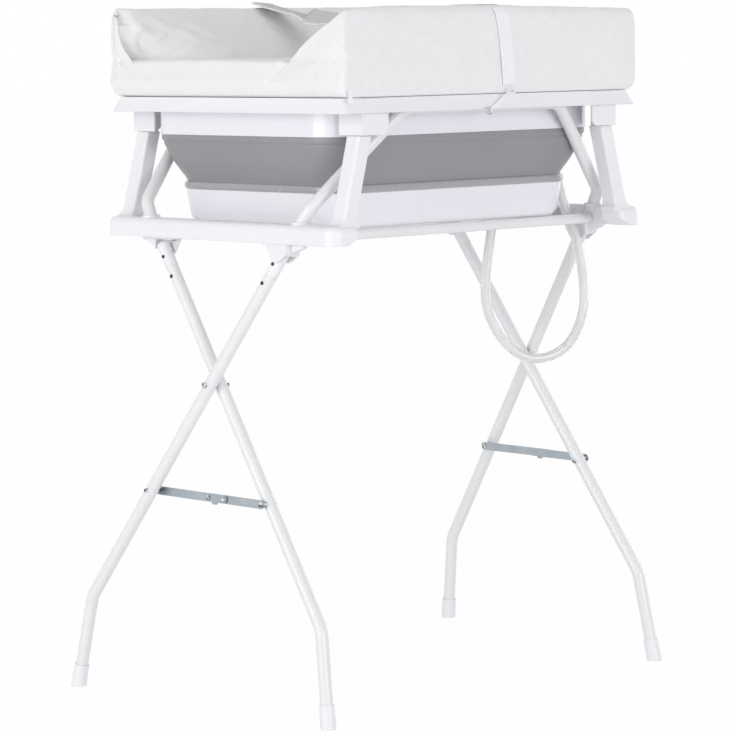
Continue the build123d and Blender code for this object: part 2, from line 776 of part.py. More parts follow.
def tub_rim():
    outside = plan_loft([(rim_bottom_z, tub_half_x, tub_half_y),
                         (rim_top_z, tub_half_x, tub_half_y)], tub_corner_radius, ruled=True)
    inside_x = tub_half_x - rim_wall
    inside_y = tub_half_y - rim_wall
    for side in (-1, 1):
        near = side * (tub_half_y - rim_wall)
        far = side * (tub_half_y + rim_lip_reach)
        outside += box_between((-rim_lip_half, min(near, far), rim_top_z),
                               (rim_lip_half, max(near, far), rim_top_z + rim_lip_thickness))
    inside = plan_loft([(rim_bottom_z - cut_overrun, inside_x, inside_y),
                        (rim_top_z + cut_overrun, inside_x, inside_y)],
                       tub_corner_radius - rim_wall, ruled=True)
    return outside - inside


def tub_wall():
    top_z = rim_bottom_z
    drop = rim_bottom_z - ring_top_z
    levels = [
        (top_z - drop * drop_share, soft_wall_inset * inset_share)
        for drop_share, inset_share in zip(soft_wall_drop_shares, soft_wall_inset_shares)
    ]
    outside = plan_loft(tub_levels(levels, 0), tub_corner_radius)
    inside = plan_loft(tub_levels(levels, soft_wall), tub_corner_radius - soft_wall)
    return outside - inside


def tub_ring():
    levels = [(ring_bottom_z, ring_inset), (ring_top_z, ring_inset)]
    hole_levels = [(ring_bottom_z, base_neck_inset), (ring_top_z, base_neck_inset)]
    outside = plan_loft(tub_levels(levels, 0), tub_corner_radius, ruled=True)
    return outside - plan_loft(tub_levels(hole_levels, 0), tub_corner_radius - base_wall, ruled=True)


def tub_base():
    corner = tub_corner_radius - base_wall
    foot_half_x = tub_half_x - base_foot_inset
    foot_half_y = tub_half_y - base_foot_inset
    head_half_x = tub_half_x - base_inset
    head_half_y = tub_half_y - base_inset
    lower = plan_loft([(base_bottom_z, foot_half_x, foot_half_y),
                       (ring_bottom_z, head_half_x, head_half_y)], corner, ruled=True)
    lower = fillet(lower.edges().group_by(Axis.Z)[0], base_edge_radius)
    neck_half_x = tub_half_x - base_neck_inset
    neck_half_y = tub_half_y - base_neck_inset
    upper = plan_loft([(ring_bottom_z - base_wall, neck_half_x, neck_half_y),
                       (ring_top_z, neck_half_x, neck_half_y)], corner, ruled=True)
    room = plan_loft([(base_bottom_z + base_wall, foot_half_x - base_wall, foot_half_y - base_wall),
                      (ring_bottom_z - base_wall, head_half_x - base_wall, head_half_y - base_wall)],
                     corner - base_wall, ruled=True)
    room = fillet(room.edges().group_by(Axis.Z)[0], base_edge_radius - base_wall)
    room_top = plan_loft([(ring_bottom_z - base_wall, neck_half_x - base_wall, neck_half_y - base_wall),
                          (ring_top_z, neck_half_x - base_wall, neck_half_y - base_wall)],
                         corner - base_wall, ruled=True)
    hole = rod(Vector(drain_x, drain_y, drain_bottom_z), Vector(drain_x, drain_y, ring_top_z),
               drain_bore_d)
    return lower + upper - room - room_top - hole


def drain_fitting():
    top = Vector(drain_x, drain_y, base_bottom_z)
    low = Vector(drain_x, drain_y, drain_bottom_z)
    flange = rod(top - Vector(0, 0, drain_flange_height), top, drain_flange_d)
    body = rod(low, top, drain_body_d)
    return flange + body - rod(low + Vector(0, 0, drain_floor), top, drain_bore_d) - drain_hose()


def drain_plug():
    floor_z = base_bottom_z + base_wall + contact_gap
    low = Vector(drain_x, drain_y, plug_stem_bottom_z)
    seat = Vector(drain_x, drain_y, floor_z)
    disc_top = seat + Vector(0, 0, plug_disc_height)
    knob_top = disc_top + Vector(0, 0, plug_knob_height)
    knob = rod(disc_top, knob_top, plug_knob_d)
    knob = fillet(knob.edges().group_by(Axis.Z)[-1], plug_knob_radius)
    return rod(low, seat, plug_stem_d) + rod(seat, disc_top, plug_disc_d) + knob


# The hose's route, from the drain down and round to the clip on the ring
hose_points = [
    (165.0, -75.0, 653.6), (157.0, -69.5, 592.0), (155.1, -67.7, 530.0), (183.1, -84.7, 472.0),
    (220.4, -107.4, 449.5), (262.4, -133.0, 465.0), (285.8, -147.2, 516.0), (286.4, -147.1, 573.0),
    (275.5, -140.8, 638.0), (256.0, -133.5, 684.0), (249.8, -126.0, 728.0),
]
hose_bend_share = 0.45


def hose_radii():
    points = [Vector(*point) for point in hose_points]
    radii = []
    for before, here, after in zip(points, points[1:], points[2:]):
        first = here - before
        second = after - here
        turn = radians(first.get_angle(second))
        radii.append(hose_bend_share * min(first.length, second.length) / tan(turn / 2))
    return radii


def hose_path():
    return FilletPolyline(*hose_points, radius=hose_radii())


def drain_hose():
    path = hose_path()
    start = Plane(origin=path @ 0, z_dir=path % 0)
    return sweep(start * Circle(hose_d / 2), path=path)


def hose_clip():
    last = Vector(*hose_points[-1])
    before = Vector(*hose_points[-2])
    run = (before - last).normalized()
    centre = last + run * ((last.Z - clip_z) / -run.Z)
    low = centre + run * (clip_height / 2)
    high = centre - run * (clip_height / 2)
    body = rod(low, high, hose_d + 2 * clip_wall)
    ring_corner = Vector(tub_half_x - ring_inset - tub_corner_radius,
                         -(tub_half_y - ring_inset - tub_corner_radius), centre.Z)
    inward = (ring_corner - centre).normalized()
    arm_plane = Plane(origin=centre, x_dir=inward, z_dir=(0, 0, 1))
    arm = arm_plane * Box((ring_corner - centre).length, clip_arm_width, clip_height - clip_wall,
                          align=(Align.MIN, Align.CENTER, Align.CENTER))
    levels = [(ring_bottom_z - cut_overrun, ring_inset), (ring_top_z + cut_overrun, ring_inset)]
    ring_core = plan_loft(tub_levels(levels, 0), tub_corner_radius, ruled=True)
    bore = rod(low + run * cut_overrun, high - run * cut_overrun, hose_d)
    return body + arm - bore - ring_core


# Changing board parts
def corner_skirt(x_side, y_side):
    """Two walls under a corner of the board that fit over a post's spigot."""
    inner = x_side * skirt_inner_x
    outer = x_side * skirt_outer_x
    front = y_side * skirt_outer_y
    roof = board_top_z - board_panel / 2
    plate_low_x, plate_high_x = sorted((inner, outer))
    face = make_face(Polyline([(plate_low_x, skirt_bottom_z), (plate_high_x, skirt_bottom_z),
                               (plate_high_x, roof), (plate_low_x, roof)], close=True))
    lower = face.vertices().sort_by(Axis.Y)[:2]
    inner_corner = min(lower, key=lambda corner: abs(corner.X))
    face = fillet(inner_corner, skirt_corner_radius)
    wall_plane = Plane(origin=(0, front, 0), x_dir=(1, 0, 0), z_dir=(0, -1, 0))
    front_wall = extrude(wall_plane * face, -y_side * -skirt_wall)
    side_low_x, side_high_x = sorted((outer, outer - x_side * skirt_wall))
    side_low_y, side_high_y = sorted((front, y_side * skirt_inner_y))
    side_wall = box_between((side_low_x, side_low_y, skirt_bottom_z),
                            (side_high_x, side_high_y, roof))
    return front_wall + side_wall


def changing_board():
    top_x = board_half_x - board_top_inset
    top_y = board_half_y - board_top_inset
    radius = board_corner_radius
    outside = plan_loft([(board_bottom_z, board_half_x, board_half_y),
                         (board_top_z, top_x, top_y)], radius, ruled=True)
    panel_z = board_top_z - board_panel
    slope = board_top_inset / (board_top_z - board_bottom_z)
    panel_x = top_x + slope * board_panel - board_wall
    panel_y = top_y + slope * board_panel - board_wall
    low_x = board_half_x - board_wall
    low_y = board_half_y - board_wall
    inside = plan_loft([(board_bottom_z, low_x, low_y), (panel_z, panel_x, panel_y)],
                       radius - board_wall, ruled=True)
    board = outside - inside
    for x_side in (-1, 1):
        for y_side in (-1, 1):
            board += corner_skirt(x_side, y_side)
    return board


# Mat and straps
def bowed(start, end, rise):
    """An arc between two points of a section, pushed out to its left by a small rise."""
    run_y = end[0] - start[0]
    run_z = end[1] - start[1]
    length = sqrt(run_y ** 2 + run_z ** 2)
    middle = ((start[0] + end[0]) / 2 - run_z / length * rise,
              (start[1] + end[1]) / 2 + run_y / length * rise)
    return ThreePointArc(start, middle, end)


def mat_section(x, draw, back_run):
    """The mat across its width at one place along it, drawn in near its ends."""
    low_z = board_top_z + contact_gap
    half = mat_half_y - draw
    ridge_y = mat_ridge_y - draw / 2
    ridge_z = mat_ridge_z - draw
    bed_z = mat_bed_z - draw / 2
    front = [
        (-half + mat_bottom_tuck, low_z),
        (-half + mat_side_bulge, mat_low_z),
        (-half + mat_side_bulge, mat_shoulder_z - draw),
        (-ridge_y, ridge_z),
        (-ridge_y + mat_ridge_width, ridge_z - mat_ridge_fall),
        (-mat_slope_foot_y, bed_z),
    ]
    rises = [mat_corner_bulge, mat_side_bulge, mat_corner_bulge, mat_corner_bulge,
             mat_slope_crown, mat_bed_crown]
    back = [(-y, z) for y, z in front[::-1]]
    back[0] = (ridge_y - back_run, bed_z)
    points = front + back
    curves = [
        bowed(start, end, rise)
        for start, end, rise in zip(points, points[1:], rises + rises[-2::-1])
    ]
    curves.append(Line(points[-1], points[0]))
    plane = Plane(origin=(x, 0, 0), x_dir=(0, 1, 0), z_dir=(1, 0, 0))
    return plane * make_face(Wire(curves))


def changing_mat():
    places = list(zip(mat_end_place_shares, mat_end_draw_shares))
    widening = list(zip(mat_back_end_place_shares, mat_back_end_run_shares))
    stations = {}
    for place, draw in places:
        stations[-mat_half_x + mat_end_length * place] = mat_end_draw * draw
        stations[mat_half_x - mat_end_length * place] = mat_end_draw * draw
    for place in mat_back_end_place_shares[1:]:
        stations[-mat_half_x + mat_back_end_length * place] = 0
    sections = []
    for x in sorted(stations):
        share = (x + mat_half_x) / mat_back_end_length
        for (start, low), (end, high) in zip(widening, widening[1:]):
            if start <= share <= end:
                grown = low + (high - low) * (share - start) / (end - start)
        if share > 1:
            grown = mat_back_end_run_shares[-1]
        back_run = mat_back_end_run + (mat_slope_run - mat_back_end_run) * grown
        sections.append(mat_section(x, stations[x], back_run))
    return loft(sections, ruled=True)


def mat_side_sheet(side, thickness):
    """A thin curved sheet lying on the front (-1) or back (1) face of the mat."""
    plane = Plane(origin=(-mat_half_x, 0, 0), x_dir=(0, 1, 0), z_dir=(1, 0, 0))
    edges = []
    for depth in (contact_gap, contact_gap + thickness):
        y = mat_half_y - mat_side_bulge + depth
        middle_z = (mat_low_z + mat_shoulder_z) / 2
        edges.append(ThreePointArc((side * y, mat_low_z), (side * (y + mat_side_bulge), middle_z),
                                   (side * y, mat_shoulder_z)))
    inner, outer = edges
    ends = [Line(inner @ 0, outer @ 0), Line(inner @ 1, outer @ 1)]
    return extrude(plane * make_face(Wire([inner, outer, *ends])), 2 * mat_half_x)


def safety_belt():
    """A padded belt that hangs across the hollow from bolster to bolster."""
    middle_z = belt_end_z - belt_sag
    plane = Plane(origin=(belt_x - belt_width / 2, 0, 0), x_dir=(0, 1, 0), z_dir=(1, 0, 0))
    low = ThreePointArc((-belt_half_y, belt_end_z), (0, middle_z), (belt_half_y, belt_end_z))
    high = ThreePointArc((-belt_half_y, belt_end_z + belt_thickness),
                         (0, middle_z + belt_thickness),
                         (belt_half_y, belt_end_z + belt_thickness))
    sides = [Line(low @ 0, high @ 0), Line(low @ 1, high @ 1)]
    return extrude(plane * make_face(Wire([low, high, *sides])), belt_width)


def side_strap(side):
    """A strap down the front (-1) or back (1) face of the mat."""
    plane = Plane(origin=(0, side * mat_half_y, 0), x_dir=(1, 0, 0), z_dir=(0, -1, 0))
    half = strap_width / 2
    outline = make_face(Polyline([
        (strap_bottom_x - half, mat_low_z), (strap_bottom_x + half, mat_low_z),
        (strap_top_x + half, mat_shoulder_z), (strap_top_x - half, mat_shoulder_z),
    ], close=True))
    slab = extrude(plane * outline, cut_overrun, both=True)
    return mat_side_sheet(side, strap_thickness) & slab


def strap_loop():
    y = -(mat_half_y + contact_gap + loop_thickness / 2)
    centre = Pos(strap_bottom_x, y, loop_z)
    outside = Box(loop_width, loop_thickness, loop_height)
    inside = Box(loop_width - 2 * loop_bar, cut_overrun, loop_height - 2 * loop_bar)
    return centre * (outside - inside)


def strap_elastic():
    y = -(mat_half_y + contact_gap + elastic_thickness / 2)
    start = Vector(elastic_start_x, y, elastic_start_z)
    end = Vector(elastic_end_x, y, elastic_end_z)
    run = end - start
    plane = Plane(origin=start, x_dir=(0, 1, 0), z_dir=run.normalized())
    return extrude(plane * Rectangle(elastic_thickness, elastic_width), run.length)


def strap_hook():
    y = -(mat_half_y + contact_gap + elastic_thickness / 2)
    plate = Box(hook_length, hook_thickness, hook_height)
    eye = Rot(90, 0, 0) * Cylinder(hook_eye_d / 2, cut_overrun)
    return Pos(hook_x, y, hook_z) * (plate - eye) - strap_elastic()


def corner_tie(x_side, y_side):
    """A short tape at a corner of the mat, down over the board's lip."""
    x = x_side * (mat_half_x - tie_inset)
    y = y_side * (mat_half_y - tie_seat + contact_gap + tie_thickness / 2)
    return box_between((x - tie_width / 2, y - tie_thickness / 2, tie_bottom_z),
                       (x + tie_width / 2, y + tie_thickness / 2, tie_top_z))


# The pieces
def pair_pieces():
    """Every piece of the left leg pair, by name."""
    pieces = {}
    bolt = cross_bolt()
    cross_hole = pin_along(cross_point, pair_axis, -cut_overrun, cut_overrun,
                           cross_bolt_d + 2 * running_gap)
    outer_bolt = stay_bolt(1)
    inner_bolt = stay_bolt(-1)
    pin = hinge_pin()
    hinge_hole = pin_along(outer_leg_points[2], pair_axis, -cut_overrun, cut_overrun,
                           hinge_pin_d + 2 * running_gap)
    outer_screws = leg_screw_bodies(outer_leg_points)
    inner_screws = leg_screw_bodies(inner_leg_points)
    outer_leg = leg_tube(outer_leg_points) - bolt - outer_bolt
    inner_leg = leg_tube(inner_leg_points) - cross_hole - inner_bolt
    outer_top = leg_top(outer_leg_points) - hinge_hole
    inner_top = leg_top(inner_leg_points)
    for screw in outer_screws:
        outer_leg -= screw
        outer_top -= screw
    for screw in inner_screws:
        inner_leg -= screw
        inner_top -= screw
    pieces["outer_leg"] = outer_leg
    pieces["inner_leg"] = inner_leg
    pieces["outer_leg_top"] = outer_top
    pieces["inner_leg_top"] = inner_top
    pieces["outer_foot_cap"] = foot_cap(outer_leg_points)
    pieces["inner_foot_cap"] = foot_cap(inner_leg_points)
    pieces["outer_leg_screws"] = Compound(children=outer_screws)
    pieces["inner_leg_screws"] = Compound(children=inner_screws)
    pieces["cross_bolt"] = bolt
    pieces["outer_stay_bolt"] = outer_bolt
    pieces["inner_stay_bolt"] = inner_bolt
    pieces["outer_stay_link"] = stay_link(1)
    pieces["inner_stay_link"] = stay_link(-1)
    pieces["stay_rivets"] = Compound(children=stay_rivets())
    pieces["front_socket"] = leg_socket(-1, outer_pin_x, False) - pin - socket_screws(-1)
    pieces["rear_socket"] = leg_socket(1, inner_pin_x, True) - socket_screws(1)
    pieces["hinge_pin"] = pin
    pieces["end_frame"] = end_frame()
    return pieces


pieces = {}
for name, body in pair_pieces().items():
    pieces["left_" + name] = body
    pieces["right_" + name] = mirror(body, about=Plane.YZ)

screws = [socket_screws(-1), socket_screws(1)]
pieces["socket_screws"] = Compound(children=screws + [mirror(screw, about=Plane.YZ)
                                                      for screw in screws])
for side, word in ((-1, "front"), (1, "rear")):
    pieces[word + "_hoop"] = hoop(side)
    pieces[word + "_crossbar"] = crossbar(side)
    pieces[word + "_strap"] = side_strap(side)
pieces["tub_rim"] = tub_rim()
pieces["tub_wall"] = tub_wall()
pieces["tub_ring"] = tub_ring()
pieces["tub_base"] = tub_base()
pieces["drain_fitting"] = drain_fitting()
pieces["drain_plug"] = drain_plug()
pieces["drain_hose"] = drain_hose()
pieces["hose_clip"] = hose_clip()
pieces["changing_board"] = changing_board()
pieces["changing_mat"] = changing_mat()
pieces["safety_belt"] = safety_belt()
pieces["strap_loop"] = strap_loop()
pieces["strap_elastic"] = strap_elastic()
pieces["strap_hook"] = strap_hook()
pieces["mat_corner_tie"] = corner_tie(-1, -1)

os.makedirs("parts", exist_ok=True)
for name, body in pieces.items():
    export_step(body, "parts/" + name + ".step")

open_angle = asin((bend_y + pin_y) / sqrt((bend_y + pin_y) ** 2 + (leg_drop / cos(pair_lean)) ** 2))
path = hose_path()
print("pieces", len(pieces))
print("pair lean", degrees(pair_lean), "crossing", cross_point, "open half angle", degrees(open_angle))
print("hose radii", [round(radius, 1) for radius in hose_radii()])
print("hose length", path.length, "volume share",
      pieces["drain_hose"].volume / (path.length * Circle(hose_d / 2).area))
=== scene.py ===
import bpy
import bmesh
import numpy as np
from mathutils import Matrix, Vector


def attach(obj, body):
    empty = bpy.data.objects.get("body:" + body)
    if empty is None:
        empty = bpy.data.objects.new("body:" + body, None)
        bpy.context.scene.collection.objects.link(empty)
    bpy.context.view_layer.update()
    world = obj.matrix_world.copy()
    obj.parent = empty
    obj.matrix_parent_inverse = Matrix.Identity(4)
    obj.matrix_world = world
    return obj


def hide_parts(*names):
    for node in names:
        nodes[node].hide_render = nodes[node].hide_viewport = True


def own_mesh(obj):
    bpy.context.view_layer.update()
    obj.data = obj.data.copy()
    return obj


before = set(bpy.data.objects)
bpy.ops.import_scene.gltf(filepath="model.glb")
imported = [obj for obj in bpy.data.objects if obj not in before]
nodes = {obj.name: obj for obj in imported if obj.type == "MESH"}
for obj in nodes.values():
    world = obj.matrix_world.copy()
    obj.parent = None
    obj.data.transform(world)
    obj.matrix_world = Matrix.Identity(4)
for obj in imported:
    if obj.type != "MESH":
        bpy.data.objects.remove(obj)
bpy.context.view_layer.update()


# The studio
# A pale floor under a wide, even sky, with large soft lamps at the left, in front and at the right, and a
# weak one above. The camera stands about 4.8 m away at the height of the changing mat, with a long lens.
def studio_material(name):
    """A new material with its tree emptied but for the output."""
    material = bpy.data.materials.new(name)
    material.use_nodes = True
    tree = material.node_tree
    for node in [n for n in tree.nodes if n.type != "OUTPUT_MATERIAL"]:
        tree.nodes.remove(node)
    return material, tree, next(n for n in tree.nodes if n.type == "OUTPUT_MATERIAL")


def seen_rays(tree):
    """1 for rays that show a surface to the eye, straight, in a reflection or through something clear."""
    path = tree.nodes.new("ShaderNodeLightPath")
    seen = path.outputs["Is Camera Ray"]
    for ray in ("Is Glossy Ray", "Is Transmission Ray"):
        either = tree.nodes.new("ShaderNodeMath")
        either.operation = "MAXIMUM"
        tree.links.new(seen, either.inputs[0])
        tree.links.new(path.outputs[ray], either.inputs[1])
        seen = either.outputs[0]
    return seen


def white_where_seen(tree, shader, output, share):
    """Mixes a plain white glow over a shader by a share, for the seen rays only."""
    part = tree.nodes.new("ShaderNodeMath")
    part.operation = "MULTIPLY"
    part.inputs[1].default_value = share
    tree.links.new(seen_rays(tree), part.inputs[0])
    glow = tree.nodes.new("ShaderNodeEmission")
    glow.inputs["Color"].default_value = (1, 1, 1, 1)
    mix = tree.nodes.new("ShaderNodeMixShader")
    tree.links.new(part.outputs[0], mix.inputs[0])
    tree.links.new(shader.outputs[0], mix.inputs[1])
    tree.links.new(glow.outputs[0], mix.inputs[2])
    tree.links.new(mix.outputs[0], output.inputs["Surface"])


floor_mesh = bpy.data.meshes.new("studio_floor")
floor_mesh.from_pydata([(-30, -30, 0), (30, -30, 0), (30, 30, 0), (-30, 30, 0)], [], [(0, 1, 2, 3)])
studio_floor = bpy.data.objects.new("studio_floor", floor_mesh)
bpy.context.collection.objects.link(studio_floor)
floor_material, floor_tree, floor_output = studio_material("studio_floor")
floor_shader = floor_tree.nodes.new("ShaderNodeBsdfPrincipled")
floor_shader.inputs["Base Color"].default_value = (0.96, 0.96, 0.96, 1)
floor_shader.inputs["Roughness"].default_value = 0.16
floor_shader.inputs["IOR"].default_value = 1.12
white_where_seen(floor_tree, floor_shader, floor_output, 0.965)
floor_mesh.materials.append(floor_material)

world = bpy.data.worlds.new("studio_sky")
bpy.context.scene.world = world
world.use_nodes = True
sky_tree = world.node_tree
sky_tree.nodes.clear()
sky_output = sky_tree.nodes.new("ShaderNodeOutputWorld")
sky_lit = sky_tree.nodes.new("ShaderNodeBackground")
sky_lit.inputs["Color"].default_value = (0.97, 0.975, 1.0, 1)
sky_lit.inputs["Strength"].default_value = 0.55
sky_seen = sky_tree.nodes.new("ShaderNodeBackground")
sky_seen.inputs["Color"].default_value = (1, 1, 1, 1)
sky_seen.inputs["Strength"].default_value = 1.0
sky_mix = sky_tree.nodes.new("ShaderNodeMixShader")
sky_tree.links.new(seen_rays(sky_tree), sky_mix.inputs[0])
sky_tree.links.new(sky_lit.outputs[0], sky_mix.inputs[1])
sky_tree.links.new(sky_seen.outputs[0], sky_mix.inputs[2])
sky_tree.links.new(sky_mix.outputs[0], sky_output.inputs["Surface"])


def softbox(name, place, aim, size, power, tint):
    """A square area lamp at a place, turned to a point."""
    lamp = bpy.data.lights.new(name, "AREA")
    lamp.shape = "SQUARE"
    lamp.size = size
    lamp.energy = power
    lamp.color = tint
    holder = bpy.data.objects.new(name, lamp)
    holder.location = place
    holder.rotation_euler = (Vector(aim) - Vector(place)).to_track_quat("-Z", "Y").to_euler()
    bpy.context.collection.objects.link(holder)


softbox("lamp_left", (-4.3, 0.3, 1.15), (0, 0, 0.75), 3.0, 79, (1.0, 0.995, 0.985))
softbox("lamp_front", (-0.5, -4.6, 0.95), (0, 0, 0.75), 2.4, 67, (0.98, 0.985, 1.0))
softbox("lamp_right", (4.4, -0.5, 0.9), (0, 0, 0.75), 3.0, 30, (0.98, 0.985, 1.0))
softbox("lamp_above", (0.6, 0.5, 3.6), (0, 0, 0.9), 2.4, 8, (0.98, 0.985, 1.0))

photo_camera = bpy.data.cameras.new("photo_camera")
photo_camera.sensor_width = 36.0
photo_camera.lens = 159.18
photo_camera.shift_x = -0.0278
photo_camera.clip_end = 100
camera_holder = bpy.data.objects.new("photo_camera", photo_camera)
camera_holder.matrix_world = Matrix((
    (0.7256, 0.0800, -0.6835, -3.2571),
    (-0.6880, 0.0652, -0.7228, -3.4667),
    (-0.0132, 0.9947, 0.1024, 0.9396),
    (0, 0, 0, 1),
))
bpy.context.collection.objects.link(camera_holder)
bpy.context.scene.camera = camera_holder
bpy.context.scene.view_settings.view_transform = "Standard"


# The plastic mouldings
# End frames, leg sockets, foot caps, leg end pieces, the changing board, the drain fitting and the hose clip.
# All are injection moulded in white plastic with a satin grain and softly rounded edges.
class Value:
    """An output of a shader node. Sums, differences and products of it add Math nodes."""

    def __init__(self, finish, socket):
        self.finish = finish
        self.socket = socket

    def maths(self, operation, *others):
        """A Math node with this value in its first socket and the others after it."""
        return self.finish.node("ShaderNodeMath", {"operation": operation}, dict(enumerate((self, *others))))

    def __add__(self, other):
        return self.maths("ADD", other)

    __radd__ = __add__

    def __mul__(self, other):
        return self.maths("MULTIPLY", other)

    __rmul__ = __mul__

    def __sub__(self, other):
        return self.maths("SUBTRACT", other)

    def __rsub__(self, other):
        return self.finish.node("ShaderNodeMath", {"operation": "SUBTRACT"}, {0: other, 1: self})


class Finish:
    """A material on one Principled shader, with a method that adds any other node."""

    def __init__(self, name, **constants):
        self.material, self.tree, output = studio_material(name)
        self.shader = self.tree.nodes.new("ShaderNodeBsdfPrincipled")
        self.tree.links.new(self.shader.outputs[0], output.inputs["Surface"])
        for socket, value in constants.items():
            self.shader.inputs[socket.replace("_", " ")].default_value = value
        self.place = self.node("ShaderNodeTexCoord", {}, {}, "Object")

    def node(self, kind, settings, links, output=0):
        """Adds a node: its settings are set first, then the values or links of its sockets."""
        node = self.tree.nodes.new(kind)
        for name, value in settings.items():
            setattr(node, name, value)
        for name, value in links.items():
            if isinstance(value, Value):
                self.tree.links.new(value.socket, node.inputs[name])
            else:
                node.inputs[name].default_value = value
        return Value(self, node.outputs[output])

    def feed(self, socket, value):
        self.tree.links.new(value.socket, self.shader.inputs[socket])

    def noise(self, scale, detail=2.0, place=None):
        links = {"Vector": place or self.place, "Scale": scale, "Detail": detail}
        return self.node("ShaderNodeTexNoise", {}, links, "Fac")

    def between(self, share, low, high):
        """A colour between two colours by a share. The first may come from another node."""
        links = {0: share, 6: low if isinstance(low, Value) else (*low, 1), 7: (*high, 1)}
        return self.node("ShaderNodeMix", {"data_type": "RGBA"}, links, 2)

    def split(self, place):
        """The X, Y and Z of a place, each as a value."""
        first = self.node("ShaderNodeSeparateXYZ", {}, {0: place})
        return [Value(self, socket) for socket in first.socket.node.outputs]

    def step(self, value, low, high):
        """0 below low, 1 above high, smooth between."""
        links = {0: value, 1: low, 2: high}
        return self.node("ShaderNodeMapRange", {"interpolation_type": "SMOOTHSTEP"}, links)

    def bump(self, height, distance, strength=1.0, normal=None):
        links = {"Height": height, "Distance": distance, "Strength": strength}
        if normal:
            links["Normal"] = normal
        return self.node("ShaderNodeBump", {}, links)

    def rounded(self, radius):
        return self.node("ShaderNodeBevel", {"samples": 4}, {"Radius": radius})

    def wear(self, *objects):
        for piece in objects:
            if piece.data.materials:
                for place in range(len(piece.data.materials)):
                    piece.data.materials[place] = self.material
            else:
                piece.data.materials.append(self.material)


moulded_white = Finish("moulded_white", Roughness=0.36, IOR=1.46)
cloudy = moulded_white.noise(5.0, 3.0)
moulded_white.feed("Base Color", moulded_white.between(cloudy, (0.85, 0.84, 0.875), (0.90, 0.892, 0.92)))
moulded_white.feed("Roughness", moulded_white.noise(24.0, 3.0) * 0.12 + 0.3)
grain = moulded_white.noise(1400.0, 1.0)
moulded_white.feed("Normal", moulded_white.bump(grain, 0.00006, 0.5, moulded_white.rounded(0.0014)))

plastic_names = ["changing_board", "drain_fitting", "hose_clip", "strap_loop"]
for side in ("left", "right"):
    plastic_names += [side + "_" + name for name in (
        "end_frame", "front_socket", "rear_socket", "outer_leg_top", "inner_leg_top",
        "outer_foot_cap", "inner_foot_cap")]
moulded_white.wear(*[nodes[name] for name in plastic_names])


# The steel tubes
# Legs, hoops and crossbars are bent from round steel tube and powder coated.
# The coat has a faint orange peel and pools a little at the bends.
powder_coat = Finish("powder_coat", Roughness=0.3, IOR=1.5, Coat_Weight=0.25, Coat_Roughness=0.18)
peel = powder_coat.noise(420.0, 1.5)
coat_tone = powder_coat.noise(9.0)
powder_coat.feed("Base Color", powder_coat.between(coat_tone, (0.81, 0.81, 0.818), (0.855, 0.855, 0.863)))
powder_coat.feed("Roughness", powder_coat.noise(60.0) * 0.14 + 0.24)
powder_coat.feed("Normal", powder_coat.bump(peel, 0.00007, 0.3, powder_coat.rounded(0.0008)))
tube_names = ["front_hoop", "rear_hoop", "front_crossbar", "rear_crossbar"]
for side in ("left", "right"):
    tube_names += [side + "_outer_leg", side + "_inner_leg"]
powder_coat.wear(*[nodes[name] for name in tube_names])


# Bolts, rivets and stays
# The stays are stamped from zinc-plated strip, so they have a fine grain along their length.
# Bolts and rivets have the same plating, and the small leg screws are painted near black: painted shade for
# the dark, shadowed marks they show on the legs.
zinc_plate = Finish("zinc_plate", Metallic=1.0, Roughness=0.34)
along = zinc_plate.node("ShaderNodeMapping", {}, {"Vector": zinc_plate.place, "Scale": (30.0, 4.0, 60.0)})
brushed = zinc_plate.noise(16.0, 4.0, along)
cloud = zinc_plate.noise(38.0, 3.0)
spangle = cloud * 0.6 + brushed * 0.4
zinc_plate.feed("Base Color", zinc_plate.between(spangle, (0.25, 0.29, 0.33), (0.55, 0.595, 0.63)))
zinc_plate.feed("Roughness", brushed * 0.2 + 0.26)
zinc_plate.feed("Normal", zinc_plate.bump(brushed, 0.00005, 0.6, zinc_plate.rounded(0.0004)))
bright_bolt = Finish("bright_bolt", Metallic=1.0, Roughness=0.22)
scuffed = bright_bolt.noise(260.0, 3.0)
worn_bright = bright_bolt.step(scuffed, 0.42, 0.58)
bright_bolt.feed("Base Color", bright_bolt.between(worn_bright, (0.16, 0.16, 0.17), (0.80, 0.81, 0.82)))
bright_bolt.feed("Roughness", scuffed * 0.2 + 0.12)
bright_bolt.feed("Normal", bright_bolt.bump(scuffed, 0.0003, 0.8, bright_bolt.rounded(0.0006)))
# Painted shade: the screws' near-black colour stands in for the shadow they sit in.
shade_black_steel = Finish("shade_black_steel", Metallic=1.0, Roughness=0.42)
black_tone = shade_black_steel.noise(300.0)
shade_black_steel.feed("Base Color", shade_black_steel.between(black_tone, (0.03, 0.03, 0.035), (0.09, 0.09, 0.1)))
zinc_names = []
bolt_names = []
shade_black_names = ["socket_screws"]
for side in ("left", "right"):
    zinc_names += [side + "_" + name for name in ("outer_stay_link", "inner_stay_link", "hinge_pin")]
    bolt_names += [side + "_" + name for name in (
        "cross_bolt", "outer_stay_bolt", "inner_stay_bolt", "stay_rivets")]
    shade_black_names += [side + "_outer_leg_screws", side + "_inner_leg_screws"]
zinc_plate.wear(*[nodes[name] for name in zinc_names])
bright_bolt.wear(*[nodes[name] for name in bolt_names])
shade_black_steel.wear(*[nodes[name] for name in shade_black_names])


# The bathtub's stiff parts
# The rim and the base are moulded in glossy white plastic, thin enough to let a little light through.
tub_gloss = Finish("tub_gloss", Roughness=0.22, IOR=1.49, Coat_Weight=0.2, Coat_Roughness=0.1)
tub_tone = tub_gloss.noise(4.0)
tub_gloss.feed("Base Color", tub_gloss.between(tub_tone, (0.82, 0.81, 0.865), (0.88, 0.87, 0.915)))
tub_gloss.feed("Roughness", tub_gloss.noise(30.0) * 0.1 + 0.17)
tub_gloss.feed("Normal", tub_gloss.bump(tub_gloss.noise(900.0, 1.0), 0.00004, 0.4, tub_gloss.rounded(0.0012)))
tub_gloss.wear(nodes["tub_rim"], nodes["tub_base"])


